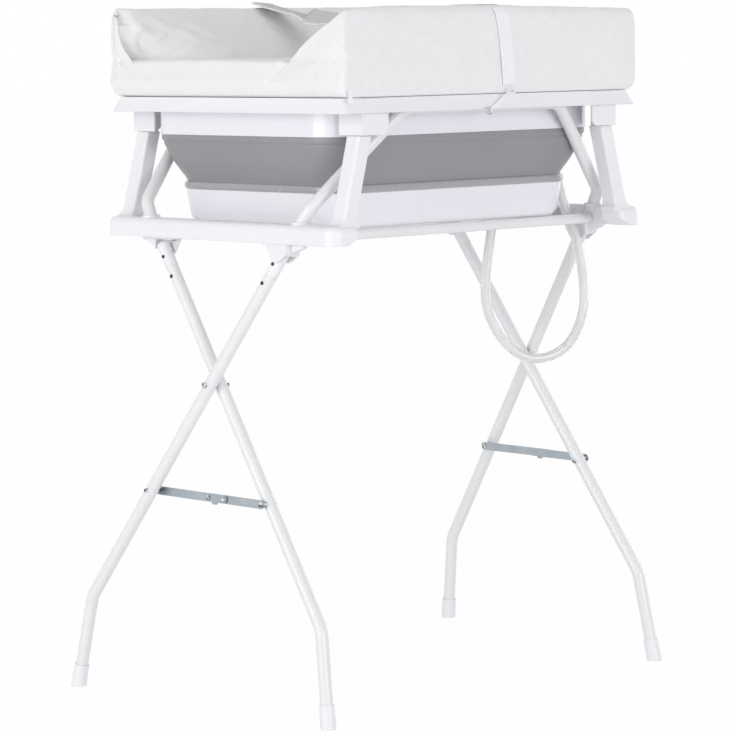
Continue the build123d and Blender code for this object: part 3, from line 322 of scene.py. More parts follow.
# The bathtub's soft parts
# The folding wall is soft grey rubber moulded onto the rim and the ring. It bows outwards, with a shallow
# step under the rim and another above the ring, where it folds. The ring is a thicker bead of it.
tub_half_x, tub_half_y, tub_corner = 0.265, 0.1995, 0.050


def finish_mesh(name, verts, faces, body, cloth=None):
    """A piece on a body from points and faces, with doubled points merged and its faces turned outwards.
    Where each point's place on the flat cloth is given, it is kept as texture coordinates."""
    mesh = bpy.data.meshes.new(name)
    mesh.from_pydata(verts.tolist(), [], faces.tolist())
    if cloth is not None:
        layer = mesh.uv_layers.new(name="cloth")
        corners = np.empty(len(mesh.loops), dtype=np.int32)
        mesh.loops.foreach_get("vertex_index", corners)
        layer.data.foreach_set("uv", np.asarray(cloth)[corners].ravel())
    work = bmesh.new()
    work.from_mesh(mesh)
    bmesh.ops.remove_doubles(work, verts=work.verts, dist=0.00001)
    bmesh.ops.recalc_face_normals(work, faces=work.faces)
    work.to_mesh(mesh)
    work.free()
    mesh.polygons.foreach_set("use_smooth", np.ones(len(mesh.polygons), dtype=bool))
    piece = bpy.data.objects.new(name, mesh)
    bpy.context.collection.objects.link(piece)
    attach(piece, body)
    return piece


def grid_faces(rows, columns, start=0, wrap=False):
    """Faces of a grid of points laid row by row; wrap joins the last column to the first."""
    row, column = np.meshgrid(np.arange(rows - 1), np.arange(columns - (not wrap)), indexing="ij")
    here = start + row * columns + column
    beside = start + row * columns + (column + 1) % columns
    return np.stack([here, beside, beside + columns, here + columns], -1).reshape(-1, 4)


def rounded_outline(half_x, half_y, radius, count=48):
    """Points of a rounded rectangle, the same number along each corner arc and each side."""
    turn = np.linspace(0, np.pi / 2, count)
    arcs = []
    for quarter, (sign_x, sign_y) in enumerate(((1, 1), (-1, 1), (-1, -1), (1, -1))):
        angle = turn + quarter * np.pi / 2
        arcs.append(np.stack([sign_x * (half_x - radius) + radius * np.cos(angle),
                              sign_y * (half_y - radius) + radius * np.sin(angle)], -1))
    share = np.linspace(0, 1, count + 1)[1:-1, None]
    points = []
    for arc, following in zip(arcs, arcs[1:] + arcs[:1]):
        points += [arc, arc[-1] * (1 - share) + following[0] * share]
    return np.concatenate(points)


def soft_wall():
    """The wall's height and inset run through a smooth profile from rim to ring; the outline is a rounded
    rectangle drawn in by that inset. The inner face follows at the wall's thickness."""
    rim_z, ring_z, thickness = 0.799, 0.731, 0.0024
    heights = np.array([0.0, 0.06, 0.12, 0.145, 0.165, 0.19, 0.25, 0.4, 0.52, 0.66, 0.78, 0.88, 0.95, 1.0])
    insets = np.array([0.001, 0.0008, 0.0012, 0.0032, 0.0036, 0.0028, 0.0044, 0.0082, 0.0112, 0.0154, 0.0196,
                       0.0234, 0.0258, 0.0262])
    steps = np.linspace(0, 1, 96)
    inset = np.interp(steps, heights, insets)
    soft = np.ones(3) / 3
    inset = np.convolve(np.pad(inset, 1, mode="edge"), soft, mode="valid")
    levels = rim_z + (ring_z - rim_z) * steps
    outer = []
    inner = []
    for level, depth in zip(levels, inset):
        ring = rounded_outline(tub_half_x - depth, tub_half_y - depth, tub_corner)
        outer.append(np.column_stack([ring, np.full(len(ring), level)]))
        inside = depth + thickness
        ring = rounded_outline(tub_half_x - inside, tub_half_y - inside, tub_corner - thickness)
        inner.append(np.column_stack([ring, np.full(len(ring), level)]))
    rows = np.array(outer + inner[::-1] + outer[:1])
    count = rows.shape[1]
    return rows.reshape(-1, 3), grid_faces(len(rows), count, wrap=True)


wall_verts, wall_faces = soft_wall()
soft_wall_piece = finish_mesh("tub_soft_wall", wall_verts, wall_faces, "frame")
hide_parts("tub_wall")
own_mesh(soft_wall_piece)


def ring_bead():
    """The ring's section is a rounded oblong, carried round a rounded rectangle."""
    middle_inset, middle_z, half_wide, half_tall = 0.0266, 0.7255, 0.0038, 0.0058
    rows = []
    for turn in np.linspace(0, 2 * np.pi, 33):
        depth = middle_inset - np.sign(np.cos(turn)) * half_wide * abs(np.cos(turn)) ** 0.9
        level = middle_z + np.sign(np.sin(turn)) * half_tall * abs(np.sin(turn)) ** 0.8
        ring = rounded_outline(tub_half_x - depth, tub_half_y - depth, tub_corner)
        rows.append(np.column_stack([ring, np.full(len(ring), level)]))
    rows = np.array(rows)
    return rows.reshape(-1, 3), grid_faces(len(rows), rows.shape[1], wrap=True)


bead_verts, bead_faces = ring_bead()
bead_piece = finish_mesh("tub_soft_ring", bead_verts, bead_faces, "tub_bottom")
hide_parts("tub_ring")

grey_rubber = Finish("grey_rubber", Roughness=0.4, IOR=1.42, Coat_Weight=0.15, Coat_Roughness=0.35)
wall_tone = grey_rubber.noise(7.0, 3.0)
grey_rubber.feed("Base Color", grey_rubber.between(wall_tone, (0.275, 0.265, 0.28), (0.315, 0.305, 0.32)))
grey_rubber.feed("Roughness", grey_rubber.noise(45.0, 3.0) * 0.16 + 0.33)
grey_rubber.feed("Normal", grey_rubber.bump(grey_rubber.noise(700.0, 1.0), 0.00006, 0.5))
grey_rubber.wear(soft_wall_piece, nodes["drain_plug"])
# The bead is the same rubber as the wall, but its grey is set lighter: painted highlight for the satin shine
# along the bead.
highlit_bead_rubber = Finish("highlit_bead_rubber", Roughness=0.24, IOR=1.6, Coat_Weight=0.7, Coat_Roughness=0.12)
bead_tone = highlit_bead_rubber.noise(9.0, 3.0)
highlit_bead_rubber.feed("Base Color", highlit_bead_rubber.between(bead_tone, (0.32, 0.31, 0.325), (0.37, 0.36, 0.375)))
highlit_bead_rubber.feed("Roughness", highlit_bead_rubber.noise(30.0, 3.0) * 0.14 + 0.18)
highlit_bead_rubber.feed("Normal", highlit_bead_rubber.bump(highlit_bead_rubber.noise(500.0, 1.0), 0.00004, 0.4))
highlit_bead_rubber.wear(bead_piece)


# The drain hose
# A length of clear flexible tube. It is pushed onto the drain under the tub, hangs in one loop between the
# right-hand legs, and its free end is held upright in a clip at the ring's front corner.
hose_points = [
    (0.1650, -0.0750, 0.6536), (0.1570, -0.0695, 0.5920), (0.1551, -0.0677, 0.5300),
    (0.1831, -0.0847, 0.4720), (0.2204, -0.1074, 0.4495), (0.2624, -0.1330, 0.4650),
    (0.2858, -0.1472, 0.5160), (0.2864, -0.1471, 0.5730), (0.2755, -0.1408, 0.6380),
    (0.2560, -0.1335, 0.6840), (0.2498, -0.1260, 0.7280),
]
route_curve = bpy.data.curves.new("hose_route", "CURVE")
route_curve.dimensions = "3D"
route_curve.resolution_u = 24
route = route_curve.splines.new("NURBS")
route.points.add(len(hose_points) - 1)
route.points.foreach_set("co", np.column_stack([np.array(hose_points), np.ones(len(hose_points))]).ravel())
route.order_u = 3
route.use_endpoint_u = True
route_object = bpy.data.objects.new("hose_route", route_curve)
bpy.context.collection.objects.link(route_object)
route_mesh = bpy.data.meshes.new_from_object(route_object)
route_line = np.empty(3 * len(route_mesh.vertices))
route_mesh.vertices.foreach_get("co", route_line)
route_line = route_line.reshape(-1, 3)
bpy.data.objects.remove(route_object)


def tube_along(line, radii, sides):
    """A closed skin of rings square to a line, one skin for each radius, joined at both ends. The rings keep
    the same side up, because each ring's first direction is the last one's, made square to the line again."""
    run = np.gradient(line, axis=0)
    run /= np.linalg.norm(run, axis=1, keepdims=True)
    first = np.empty_like(run)
    side = np.cross(run[0], (0.0, 0.0, 1.0) if abs(run[0, 2]) < 0.9 else (1.0, 0.0, 0.0))
    for place, direction in enumerate(run):
        side = side - direction * side.dot(direction)
        side /= np.linalg.norm(side)
        first[place] = side
    second = np.cross(run, first)
    angle = np.linspace(0, 2 * np.pi, sides, endpoint=False)[:, None]
    circle = first[:, None] * np.cos(angle) + second[:, None] * np.sin(angle)
    outer = line[:, None] + circle * radii[0]
    inner = line[:, None] + circle * radii[1]
    rows = np.concatenate([outer, inner[::-1], outer[:1]])
    return rows.reshape(-1, 3), grid_faces(len(rows), sides, wrap=True)


hose_radii = (0.00725, 0.0052)
hose_verts, hose_faces = tube_along(route_line, hose_radii, 40)
hose_piece = finish_mesh("clear_hose", hose_verts, hose_faces, "tub_bottom")
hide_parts("drain_hose")

clear_vinyl = Finish("clear_vinyl", Roughness=0.06, IOR=1.33, Transmission_Weight=0.6, Coat_Weight=0.5,
                     Coat_Roughness=0.05)
# Where the hose turns away from the eye its colour is painted dark grey: painted shade for the dark outline
# that refraction gives a clear tube.
rim_share = clear_vinyl.node("ShaderNodeLayerWeight", {}, {"Blend": 0.5}, "Facing")
painted_edge_shade = clear_vinyl.step(rim_share, 0.82, 0.98)
core = clear_vinyl.between(clear_vinyl.noise(60.0), (0.95, 0.955, 0.955), (0.98, 0.98, 0.98))
clear_vinyl.feed("Base Color", clear_vinyl.between(painted_edge_shade, core, (0.30, 0.31, 0.31)))
clear_vinyl.feed("Roughness", clear_vinyl.noise(90.0) * 0.06 + 0.07)
clear_vinyl.wear(hose_piece)


# The changing mat
# A flat foam bed with a foam wedge along each long side, in one thinly quilted cover. The cover is pinched
# where the bed meets the wedges, bulges just above the board and pulls into soft folds on the back wedge.
mat_bottom, bed_top = 0.8533, 0.903
mat_half_x, mat_half_y, ridge_place = 0.290, 0.252, 0.240
slope_foot, slope_run = 0.122, 0.118


def arc_points(start, end, rise, count):
    """Points of a shallow arc between two points of a section, raised to its left by a small rise."""
    share = np.linspace(0, 1, count)[:, None]
    start = np.array(start)
    end = np.array(end)
    across = np.array([start[1] - end[1], end[0] - start[0]])
    across = across / np.linalg.norm(across)
    return start * (1 - share) + end * share + across * rise * 4 * share * (1 - share)


def back_run(x):
    """How far the back wedge's slope reaches in. At the open end the cover turns round the wedge's corner."""
    places = np.array((0.0, 0.006, 0.015, 0.028, 0.042, 0.058, 0.076, 0.096, 0.116, 0.134, 0.150))
    runs = np.array((0.005, 0.009, 0.017, 0.029, 0.043, 0.059, 0.077, 0.096, 0.109, 0.116, slope_run))
    return np.interp(x + mat_half_x, places, runs)


def mat_section(draw, run):
    """The four edges of the mat's section (front, top, back, bottom) with the same number of points in the
    top as in the bottom and in the front as in the back."""
    half, bed_z = mat_half_y - draw, bed_top - draw / 2
    ridge_y, ridge_z = ridge_place - draw / 2, 0.9805 - draw
    front_points = [(-half + 0.006, mat_bottom), (-half + 0.003, 0.862), (-half + 0.003, 0.967 - draw),
                    (-ridge_y, ridge_z)]
    crest = min(0.014, 0.6 * run)
    top_points = [(-ridge_y, ridge_z), (-ridge_y + 0.014, ridge_z - 0.005), (-slope_foot, bed_z),
                  (ridge_y - run, bed_z), (ridge_y - crest, ridge_z - 0.36 * crest), (ridge_y, ridge_z)]

    def chain(points, rises, counts):
        pieces = [arc_points(a, b, r, c)[:-1] for a, b, r, c in zip(points, points[1:], rises, counts)]
        return np.concatenate(pieces + [np.array(points[-1:])])

    front = chain(front_points, (0.002, 0.003, 0.002), (4, 30, 5))
    back = front[::-1] * (-1, 1)
    top = chain(top_points, (0.002, 0.0008, 0.003, 0.0025, 0.002), (5, 44, 46, 44, 5))
    bottom = np.column_stack([np.linspace(-half + 0.006, half - 0.006, len(top)),
                              np.full(len(top), mat_bottom)])
    return front, top, back, bottom


def closed_ring(front, top, back, bottom):
    return np.concatenate([front[:-1], top[:-1], back[:-1], bottom[::-1][:-1]])


def smoothed(ring, passes):
    """Each point moves a quarter of the way to the middle of its two neighbours, several times."""
    for _ in range(passes):
        ring = ring * 0.5 + (np.roll(ring, 1, 0) + np.roll(ring, -1, 0)) * 0.25
    return ring


open_end_radius, closed_share = 0.009, 0.6
end_turn = np.linspace(0, np.pi / 2, 8)
end_places = open_end_radius * (1 - np.cos(end_turn))
end_draws = open_end_radius * (1 - np.sin(end_turn))
middle_places = np.linspace(-mat_half_x + 0.019, mat_half_x - 0.019, 180)
stations = np.concatenate([-mat_half_x + end_places, middle_places,
                           mat_half_x - closed_share * end_places[::-1]])
draws = np.concatenate([end_draws, np.zeros(len(middle_places)), closed_share * end_draws[::-1]])
edge_counts = [len(edge) - 1 for edge in mat_section(0.0, slope_run)]
rings = []
for place, draw in zip(stations, draws):
    ring = smoothed(closed_ring(*mat_section(draw, back_run(place))), 4)
    rings.append(np.column_stack([np.full(len(ring), place), ring]))
skin = np.array(rings)
middle_ring = skin[120]
around = np.concatenate([[0], np.cumsum(np.linalg.norm(np.diff(middle_ring, axis=0), axis=1))])


def outward(skin):
    """The outward direction at each point of the skin, from the differences to its neighbours."""
    along_x = np.gradient(skin, axis=0)
    along_ring = np.roll(skin, -1, 1) - np.roll(skin, 1, 1)
    normal = np.cross(along_x, along_ring)
    return normal / np.linalg.norm(normal, axis=2, keepdims=True)


def diamonds(across, along, pitch):
    """0 on the stitched lines, rising to 1 in the middle of each diamond."""
    first = np.abs(np.sin(np.pi * (across + along) / pitch))
    second = np.abs(np.sin(np.pi * (across - along) / pitch))
    return np.sqrt(np.minimum(first, second))


def bell(offset, width):
    """1 where the offset is 0, and falling smoothly on both sides: e to minus (offset over width) squared."""
    return np.exp(-(offset / width) ** 2)


def fold(x, y, start, end, width):
    """A soft ridge along a line: highest in the middle of the line, and gone at its ends and beside it."""
    start = np.array(start)
    run = np.array(end) - start
    length = np.linalg.norm(run)
    share = ((x - start[0]) * run[0] + (y - start[1]) * run[1]) / length ** 2
    aside = ((x - start[0]) * run[1] - (y - start[1]) * run[0]) / length
    inside = np.clip(share, 0, 1)
    return bell(aside, width) * np.sin(np.pi * inside) * (share > 0) * (share < 1)


def waves(x, y):
    """Slow swells of a few centimetres, from crossed sines that don't share a period."""
    return (np.sin(x * 61.0 + 1.3 * np.sin(y * 47.0)) + np.sin(y * 83.0 + 1.7 * np.sin(x * 39.0 + 0.8))
            + 0.6 * np.sin(x * 127.0 + y * 96.0)) / 2.6


quilt_pitch, quilt_rise, wave_rise = 0.040, 0.0005, 0.0006
x_grid = skin[:, :, 0]
y_grid = skin[:, :, 1]
z_grid = skin[:, :, 2]
out = outward(skin)
on_top = np.clip(out[:, :, 2] * 2.5, 0, 1)
on_side = np.clip(np.abs(out[:, :, 1]) * 2.5 - 1.0, 0, 1) * (z_grid > 0.862)
covered = np.clip(on_top + on_side, 0, 1)
lift = quilt_rise * diamonds(around[None, :], x_grid, quilt_pitch) * covered
lift += wave_rise * waves(x_grid, y_grid + z_grid) * covered

# Folds on the slopes: fans at the back wedge's open end, and small pulls that lean along the crease. Each
# row gives a fold's two ends in X and Z, its width and its height.
on_back_slope = (y_grid > 0.10) & (out[:, :, 2] > 0.1) & (z_grid > 0.899)
on_front_slope = (y_grid < -0.10) & (out[:, :, 2] > 0.1) & (z_grid > 0.899)
slope_folds = np.array((
    (-0.292, 0.920, -0.250, 0.958, 0.0050, 0.0034), (-0.293, 0.934, -0.262, 0.939, 0.0040, 0.0030),
    (-0.291, 0.908, -0.235, 0.914, 0.0040, 0.0030), (-0.268, 0.962, -0.236, 0.930, 0.0055, 0.0026),
    (-0.250, 0.925, -0.222, 0.948, 0.0050, 0.0022), (-0.240, 0.970, -0.205, 0.938, 0.0060, 0.0018),
    (-0.226, 0.908, -0.188, 0.928, 0.0050, 0.0022), (-0.212, 0.958, -0.176, 0.922, 0.0060, 0.0018),
    (-0.186, 0.966, -0.148, 0.930, 0.0070, 0.0016), (-0.178, 0.907, -0.132, 0.921, 0.0045, 0.0020),
    (-0.150, 0.950, -0.112, 0.918, 0.0060, 0.0016), (-0.120, 0.968, -0.078, 0.934, 0.0080, 0.0014),
    (-0.098, 0.906, -0.044, 0.922, 0.0050, 0.0018), (-0.060, 0.960, -0.020, 0.930, 0.0080, 0.0012),
    (0.030, 0.908, 0.080, 0.926, 0.0060, 0.0016), (0.110, 0.962, 0.160, 0.930, 0.0080, 0.0014),
    (0.190, 0.910, 0.240, 0.930, 0.0060, 0.0020), (0.230, 0.965, 0.285, 0.935, 0.0070, 0.0022)))
for start_x, start_z, end_x, end_z, width, height in slope_folds:
    start, end = (start_x, start_z), (end_x, end_z)
    lift += height * fold(x_grid, z_grid, start, end, width) * on_back_slope
    lift += 0.6 * height * fold(-x_grid, z_grid, start, end, width) * on_front_slope

# The crease where each wedge meets the bed, with the bed puffed beside it
crease_depth, bed_puff = 0.0056, 0.0018
back_foot = ridge_place - np.interp(x_grid, stations, back_run(stations))
for beside in ((y_grid - back_foot) * (y_grid > 0), (-slope_foot - y_grid) * (y_grid < 0)):
    near_foot = bell(beside, 0.0040) * (beside != 0) * (out[:, :, 2] > 0.1)
    puffed = bell(beside + 0.013, 0.010) * (beside != 0) * (out[:, :, 2] > 0.5)
    lift -= crease_depth * near_foot * (0.85 + 0.15 * np.sin(x_grid * 57.0 + np.sin(x_grid * 23.0)))
    lift += bed_puff * puffed

# The long pull across the front from the low end, and shallow dents beside it
front_face = (y_grid < -0.235) & (out[:, :, 1] < -0.5)
lift += 0.0011 * fold(x_grid, z_grid, (-0.262, 0.976), (-0.070, 0.902), 0.010) * front_face
lift -= 0.0010 * fold(x_grid, z_grid, (-0.250, 0.990), (-0.040, 0.914), 0.012) * front_face
lift += 0.0008 * fold(x_grid, z_grid, (0.150, 0.960), (0.240, 0.880), 0.016) * front_face
lift += 0.0006 * np.sin(x_grid * 23.0 + 0.4) * np.sin(z_grid * 60.0) * front_face

# The hem's seam round the lower edge
hem_height, hem_width = 0.8625, 0.0011
seam_groove = bell(z_grid - hem_height, hem_width) * (np.abs(out[:, :, 2]) < 0.7)
lift -= hem_width * seam_groove
skin = skin + out * lift[:, :, None]
skin[:, :, 2] = np.maximum(skin[:, :, 2], mat_bottom - 0.0002)

ring_count = skin.shape[1]
mat_verts = [skin.reshape(-1, 3)]
mat_faces = [grid_faces(len(stations), ring_count, wrap=True)]
mat_cloth = [np.stack([np.broadcast_to(around, x_grid.shape), x_grid], -1).reshape(-1, 2)]


def rising(value, start, run):
    """(value - start) / run, held between 0 and 1, so it rises straight from the start over the run."""
    return np.clip((value - start) / run, 0, 1)


def eased(share):
    """A share from 0 to 1 with a gentle start and end: three of its squares less two of its cubes."""
    share = np.clip(share, 0, 1)
    return share * share * (3 - 2 * share)


def end_cap(ring, swell, sign):
    """A patch stretched between the four edges of an end of the mat (each inner point is the blend of its
    edges' points, less the blend of the corners), swollen outwards away from its edges."""
    counts = np.cumsum([0] + edge_counts)
    front = ring[counts[0]:counts[1] + 1]
    top = ring[counts[1]:counts[2] + 1]
    back = ring[counts[2]:counts[3] + 1][::-1]
    bottom = np.concatenate([ring[counts[3]:], ring[:1]])[::-1]
    u = np.linspace(0, 1, len(top))[:, None, None]
    v = np.linspace(0, 1, len(front))[None, :, None]
    patch = (bottom[:, None] * (1 - v) + top[:, None] * v + front[None] * (1 - u) + back[None] * u
             - (bottom[0] * (1 - u) * (1 - v) + bottom[-1] * u * (1 - v) + top[0] * (1 - u) * v
                + top[-1] * u * v))
    roof = np.interp(patch[:, :, 1], top[:, 1], top[:, 2])
    inside = (roof - patch[:, :, 2], patch[:, :, 2] - mat_bottom, 0.246 - np.abs(patch[:, :, 1]))
    puff = np.prod([eased(depth / 0.045) for depth in inside], axis=0)
    quilt = 0.8 * quilt_rise * diamonds(patch[:, :, 1], patch[:, :, 2], quilt_pitch)
    patch[:, :, 0] += sign * puff * (swell + quilt + wave_rise * waves(patch[:, :, 1], patch[:, :, 2]))
    return patch


for station, sign in ((0, -1), (len(stations) - 1, 1)):
    patch = end_cap(skin[station], 0.0040, sign)
    start = sum(len(block) for block in mat_verts)
    mat_verts.append(patch.reshape(-1, 3))
    mat_faces.append(grid_faces(patch.shape[0], patch.shape[1], start))
    mat_cloth.append(patch[:, :, 1:3].reshape(-1, 2))


def settled(points):
    """At the open end the mat is drawn in at the height of the bed and pushed out lower down, both by
    smooth bumps of the height, and the front wedge is pulled forward until its ridge meets the front. The
    bottom edge is rolled under at both ends, and the front ridge sinks towards them."""
    roll_height = 0.0137
    points = points.copy()
    x, y, height = points.T
    at_end = rising(np.abs(x), 0.225, 0.065) ** 2
    drawn = 0.0030 * bell(height - 0.908, 0.009) * (x < 0)
    pushed = 0.0040 * bell(height - 0.874, 0.011) * (x < 0)
    low = np.clip((mat_bottom + roll_height - height) / roll_height, 0, 1)
    rolled = 0.014 * (1 - np.sqrt(1 - low ** 2))
    points[:, 0] -= np.sign(x) * at_end * (drawn - pushed + rolled)
    near_ridge = rising(-y, 0.150, 0.060) * rising(height, 0.915, 0.060)
    sunk = 0.0030 + 0.0050 * rising(x, 0.02, 0.26) + 0.0065 * rising(-x, 0.205, 0.085) ** 1.5
    points[:, 2] -= near_ridge * sunk
    pulled = 0.0115 * rising(-x, 0.190, 0.100) * rising(height, 0.880, 0.020)
    points[:, 1] -= pulled * rising(-y, 0.080, 0.040) * rising(y, -0.2530, 0.013)
    return points


mat_piece = finish_mesh("quilted_mat", settled(np.concatenate(mat_verts)), np.concatenate(mat_faces),
                        "changing_top", np.concatenate(mat_cloth))
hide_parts("changing_mat")

quilted_cloth = Finish("quilted_cloth", Roughness=0.82, IOR=1.4, Sheen_Weight=0.2, Sheen_Roughness=0.5)
cloth_place = quilted_cloth.node("ShaderNodeUVMap", {"uv_map": "cloth"}, {})
across, lengthwise, _ = quilted_cloth.split(cloth_place)


def stitch_distance(position):
    """0 on a stitched line and 1 half way to the next."""
    return (position * (np.pi / quilt_pitch)).maths("SINE").maths("ABSOLUTE")


first_line = stitch_distance(across + lengthwise)
second_line = stitch_distance(across - lengthwise)
seam = 1 - quilted_cloth.step(first_line.maths("MINIMUM", second_line), 0.01, 0.12)
threads_per_m = 5200.0
weave = (across * threads_per_m).maths("SINE") * (lengthwise * threads_per_m).maths("SINE")
mottled = quilted_cloth.noise(14.0, 4.0)
cloth_colour = quilted_cloth.between(mottled, (0.845, 0.842, 0.848), (0.895, 0.892, 0.898))
quilted_cloth.feed("Base Color", quilted_cloth.between(seam * 0.15, cloth_colour, (0.70, 0.70, 0.71)))
quilted_cloth.feed("Roughness", mottled * 0.16 + 0.74)
cloth_height = weave * 0.05 + (1 - seam) * 0.35 + quilted_cloth.noise(70.0, 3.0) * 0.9
quilted_cloth.feed("Normal", quilted_cloth.bump(cloth_height, 0.0010, 0.5))
quilted_cloth.wear(mat_piece)


# The safety belt
# Two flat padded halves in grey cloth with a pale bound edge, each sewn to one ridge of the cover. The far
# half hangs down into the hollow, and the near half lies over its end, tipped towards the open end.
belt_thick, cloth_half_width = 0.0040, 0.0275


def belt_half(start_y, end_y, middle_x, half_width, tip_share, heights, tilts):
    """A thin cushion whose section is a flat oblong with rounded edges. It runs along Y at the given
    heights, rolls about its own middle by the given tilts, and ends in a slanting, rounded tip."""
    turn = np.linspace(0, 2 * np.pi, 72, endpoint=False)
    wide = np.sign(np.cos(turn)) * np.abs(np.cos(turn)) ** 0.45
    tall = np.sign(np.sin(turn)) * np.abs(np.sin(turn)) ** 0.45
    share = np.linspace(0, 1, 110)[:, None]
    tip = tip_share * (0.006 * (1 - np.abs(wide) ** 3) + 0.0135 * wide)
    y = start_y + (end_y + tip[None] - start_y) * share
    height = np.interp(y, *heights)
    tilt = np.radians(np.interp(y, *tilts))
    plump = 1 - 0.35 * np.abs(np.sin(share * 37.0)) ** 8
    thick = tall[None] * belt_thick / 2 * plump
    x = middle_x + wide[None] * half_width * np.cos(tilt) - thick * np.sin(tilt)
    z = height + wide[None] * half_width * np.sin(tilt) + thick * np.cos(tilt)
    rows = np.stack([x, y, z], -1)
    centres = rows.mean(axis=1, keepdims=True).repeat(len(turn), 1)
    rows = np.concatenate([centres[:1], rows, centres[-1:]])
    cloth = np.stack([np.broadcast_to(wide * cloth_half_width, rows.shape[:2]), rows[:, :, 1]], -1)
    return rows.reshape(-1, 3), grid_faces(len(rows), len(turn), wrap=True), cloth.reshape(-1, 2)


# Both halves hang in a shallow curve from ridge to ridge. Their heights and tilts are tables along Y.
belt_rows = np.linspace(-0.240, 0.240, 97)
hanging = 0.9835 - 0.029 * (1 - (belt_rows / 0.236) ** 2)
far_heights = (belt_rows, hanging + 0.0015 - 0.0050 * eased((0.150 - belt_rows) / 0.040))
near_heights = (belt_rows, hanging + 0.0025 - 0.0095 * eased((-0.190 - belt_rows) / 0.040))
far_tilts = ((0.080, 0.150), (6.0, -4.0))
near_tilts = ((-0.020, 0.040, 0.100), (0.0, 8.0, 18.0))
far_verts, far_faces, far_cloth = belt_half(
    0.238, 0.060, -0.0045, 0.0215, 0.0, far_heights, far_tilts)
near_verts, near_faces, near_cloth = belt_half(
    -0.2345, 0.130, -0.0060, 0.0270, 1.0, near_heights, near_tilts)
far_belt = finish_mesh("belt_far_half", far_verts, far_faces, "changing_top", far_cloth)
near_belt = finish_mesh("belt_near_half", near_verts, near_faces, "changing_top", near_cloth)
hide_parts("safety_belt")

belt_cloth = Finish("belt_cloth", Roughness=0.8, Sheen_Weight=0.2)
belt_place = belt_cloth.node("ShaderNodeUVMap", {"uv_map": "cloth"}, {})
belt_across, belt_along, _ = belt_cloth.split(belt_place)
twill = ((belt_across + belt_along) * 4200.0).maths("SINE")
binding_edge = 0.0249
binding = belt_cloth.step(belt_across.maths("ABSOLUTE"), binding_edge - 0.0003, binding_edge + 0.0003)
belt_mottle = belt_cloth.noise(40.0, 4.0)
belt_colour = belt_cloth.between(belt_mottle, (0.56, 0.555, 0.57), (0.64, 0.635, 0.65))
belt_cloth.feed("Base Color", belt_cloth.between(binding, belt_colour, (0.82, 0.82, 0.80)))
belt_cloth.feed("Roughness", belt_mottle * 0.14 + 0.74)
belt_cloth.feed("Normal", belt_cloth.bump(twill * 0.3 + binding * 1.5, 0.0003, 0.7))
belt_cloth.wear(far_belt, near_belt)


# The straps that hold the mat down
# White ribbed webbing, 25 mm wide. It goes from the ridge down the front of the mat to a plastic loop, where
# a thin elastic and a small wire hook tie it under the board. There is one more strap down the back.
def band(centre, across_dir, half_width, thickness, edge_round):
    """A thin cushion carried along a line: its section is a flat lens with rounded edges, whose width lies
    along a fixed direction and whose thickness is square to the line."""
    run = np.gradient(centre, axis=0)
    run /= np.linalg.norm(run, axis=1, keepdims=True)
    wide = np.array(across_dir, dtype=float)
    wide /= np.linalg.norm(wide)
    up = np.cross(wide[None], run)
    up /= np.linalg.norm(up, axis=1, keepdims=True)
    sides = 48
    turn = np.linspace(0, 2 * np.pi, sides, endpoint=False)
    flat = np.sign(np.cos(turn)) * np.abs(np.cos(turn)) ** edge_round
    tall = np.sign(np.sin(turn)) * np.abs(np.sin(turn)) ** edge_round
    rows = (centre[:, None] + wide[None, None] * flat[None, :, None] * half_width
            + up[:, None] * tall[None, :, None] * thickness / 2)
    rows = np.concatenate([centre[:1, None].repeat(sides, 1), rows, centre[-1:, None].repeat(sides, 1)])
    return rows.reshape(-1, 3), grid_faces(len(rows), sides, wrap=True)


def strap_line(side, top_x, bottom_x):
    """Middle line of a strap: over the ridge, then down the bowed face, a little proud of the cover."""
    share = np.linspace(0, 1, 60)
    top_z, bottom_z = 0.9745, 0.8645
    z = top_z + (bottom_z - top_z) * share
    bow = 0.003 * np.clip(4 * (z - 0.862) * (0.967 - z) / 0.105 ** 2, 0, 1)
    y = -(0.2508 + bow)
    y += 0.0065 * rising(z, 0.962, 0.0125) ** 2
    x = top_x + (bottom_x - top_x) * share
    return np.column_stack([x, -side * y, z])


webbing = Finish("webbing", Roughness=0.7, Sheen_Weight=0.15)
web_x, _, web_z = webbing.split(webbing.place)
web_ribs = (web_z * 3900.0).maths("SINE")
web_threads = (web_x * 6200.0).maths("SINE")
webbing.feed("Base Color", webbing.between(webbing.noise(90.0, 4.0), (0.88, 0.88, 0.90), (0.94, 0.94, 0.96)))
webbing.feed("Roughness", webbing.noise(140.0) * 0.16 + 0.6)
webbing.feed("Normal", webbing.bump(web_ribs * 0.4 + web_threads * 0.2, 0.0002, 0.6))

for side, word in ((-1, "front"), (1, "rear")):
    line = strap_line(side, 0.0095, 0.0245)
    strap_verts, strap_faces = band(line, (1, 0, 0), 0.0125, 0.0014, 0.25)
    strap = finish_mesh(word + "_webbing", strap_verts, strap_faces, "changing_top")
    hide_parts(word + "_strap")
    webbing.wear(strap)

# The thin elastic sags a little on its way to the hook
elastic_share = np.linspace(0, 1, 40)[:, None]
elastic_ends = np.array([[0.0185, -0.2532, 0.8535], [-0.0150, -0.2532, 0.8330]])
elastic_line = elastic_ends[0] * (1 - elastic_share) + elastic_ends[1] * elastic_share
elastic_line[:, 2] -= 0.0012 * np.sin(np.pi * elastic_share[:, 0])
elastic_verts, elastic_faces = band(elastic_line, (0.52, 0, -0.85), 0.0014, 0.0009, 0.5)
elastic_piece = finish_mesh("thin_elastic", elastic_verts, elastic_faces, "changing_top")
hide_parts("strap_elastic")

# The short tape at the near corner comes out of the hem and is tucked over the board's lip
tie_heights = np.linspace(0.8655, 0.8455, 40)
tie_bow = 0.0012 * np.sin((tie_heights - 0.8455) * 190.0)
tie_line = np.column_stack([np.full_like(tie_heights, -0.2810), -0.2515 - tie_bow, tie_heights])
tie_verts, tie_faces = band(tie_line, (1, 0, 0), 0.0034, 0.0011, 0.3)
tie_piece = finish_mesh("corner_tape", tie_verts, tie_faces, "changing_top")
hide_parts("mat_corner_tie")
webbing.wear(elastic_piece, tie_piece)


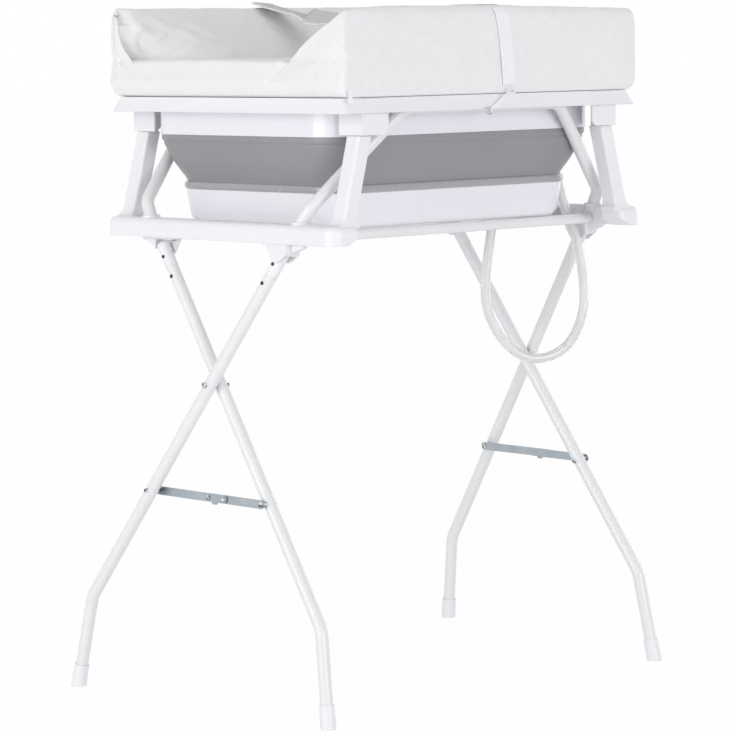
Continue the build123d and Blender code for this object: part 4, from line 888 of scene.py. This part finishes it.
# The hook at the elastic's end
# It is bent from bright steel wire, with a second, smaller loop of wire in front of it.
def wire(points, radius):
    """A closed loop of round wire in the X-Z plane. Its corners are rounded by moving each point a quarter
    of the way to the middle of its neighbours, many times."""
    corners = np.array(points)
    smooth = corners.repeat(12, 0)
    for _ in range(14):
        smooth = smooth * 0.5 + (np.roll(smooth, 1, 0) + np.roll(smooth, -1, 0)) * 0.25
    ahead = np.roll(smooth, -1, 0) - np.roll(smooth, 1, 0)
    ahead /= np.linalg.norm(ahead, axis=1, keepdims=True)
    sides = 14
    turn = np.linspace(0, 2 * np.pi, sides, endpoint=False)
    beside = np.stack([ahead[:, 1], -ahead[:, 0]], -1)
    x = smooth[:, None, 0] + beside[:, None, 0] * np.cos(turn) * radius
    z = smooth[:, None, 1] + beside[:, None, 1] * np.cos(turn) * radius
    y = np.zeros_like(x) + np.sin(turn) * radius
    rows = np.stack([x, y, z], -1)
    rows = np.concatenate([rows, rows[:1]])
    return rows.reshape(-1, 3), grid_faces(len(rows), sides, wrap=True)


hook_verts, hook_faces = wire(
    ((-0.0130, 0.8345), (-0.0245, 0.8335), (-0.0258, 0.8300), (-0.0172, 0.8245), (-0.0140, 0.8262)), 0.0008)
second_verts, second_faces = wire(
    ((-0.0135, 0.8255), (-0.0190, 0.8325), (-0.0225, 0.8325), (-0.0160, 0.8250)), 0.0007)
hook_y, second_y = -0.2533, -0.2546
hook_verts = np.concatenate([hook_verts + (0, hook_y, 0), second_verts + (0, second_y, 0)])
hook_faces = np.concatenate([hook_faces, second_faces + len(hook_verts) - len(second_verts)])
hook_piece = finish_mesh("wire_hook", hook_verts, hook_faces, "changing_top")
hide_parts("strap_hook")
bright_wire = Finish("bright_wire", Metallic=1.0, Roughness=0.2)
wire_tone = bright_wire.noise(400.0)
bright_wire.feed("Base Color", bright_wire.between(wire_tone, (0.35, 0.35, 0.36), (0.75, 0.75, 0.77)))
bright_wire.feed("Roughness", bright_wire.noise(250.0) * 0.2 + 0.14)
bright_wire.wear(hook_piece)
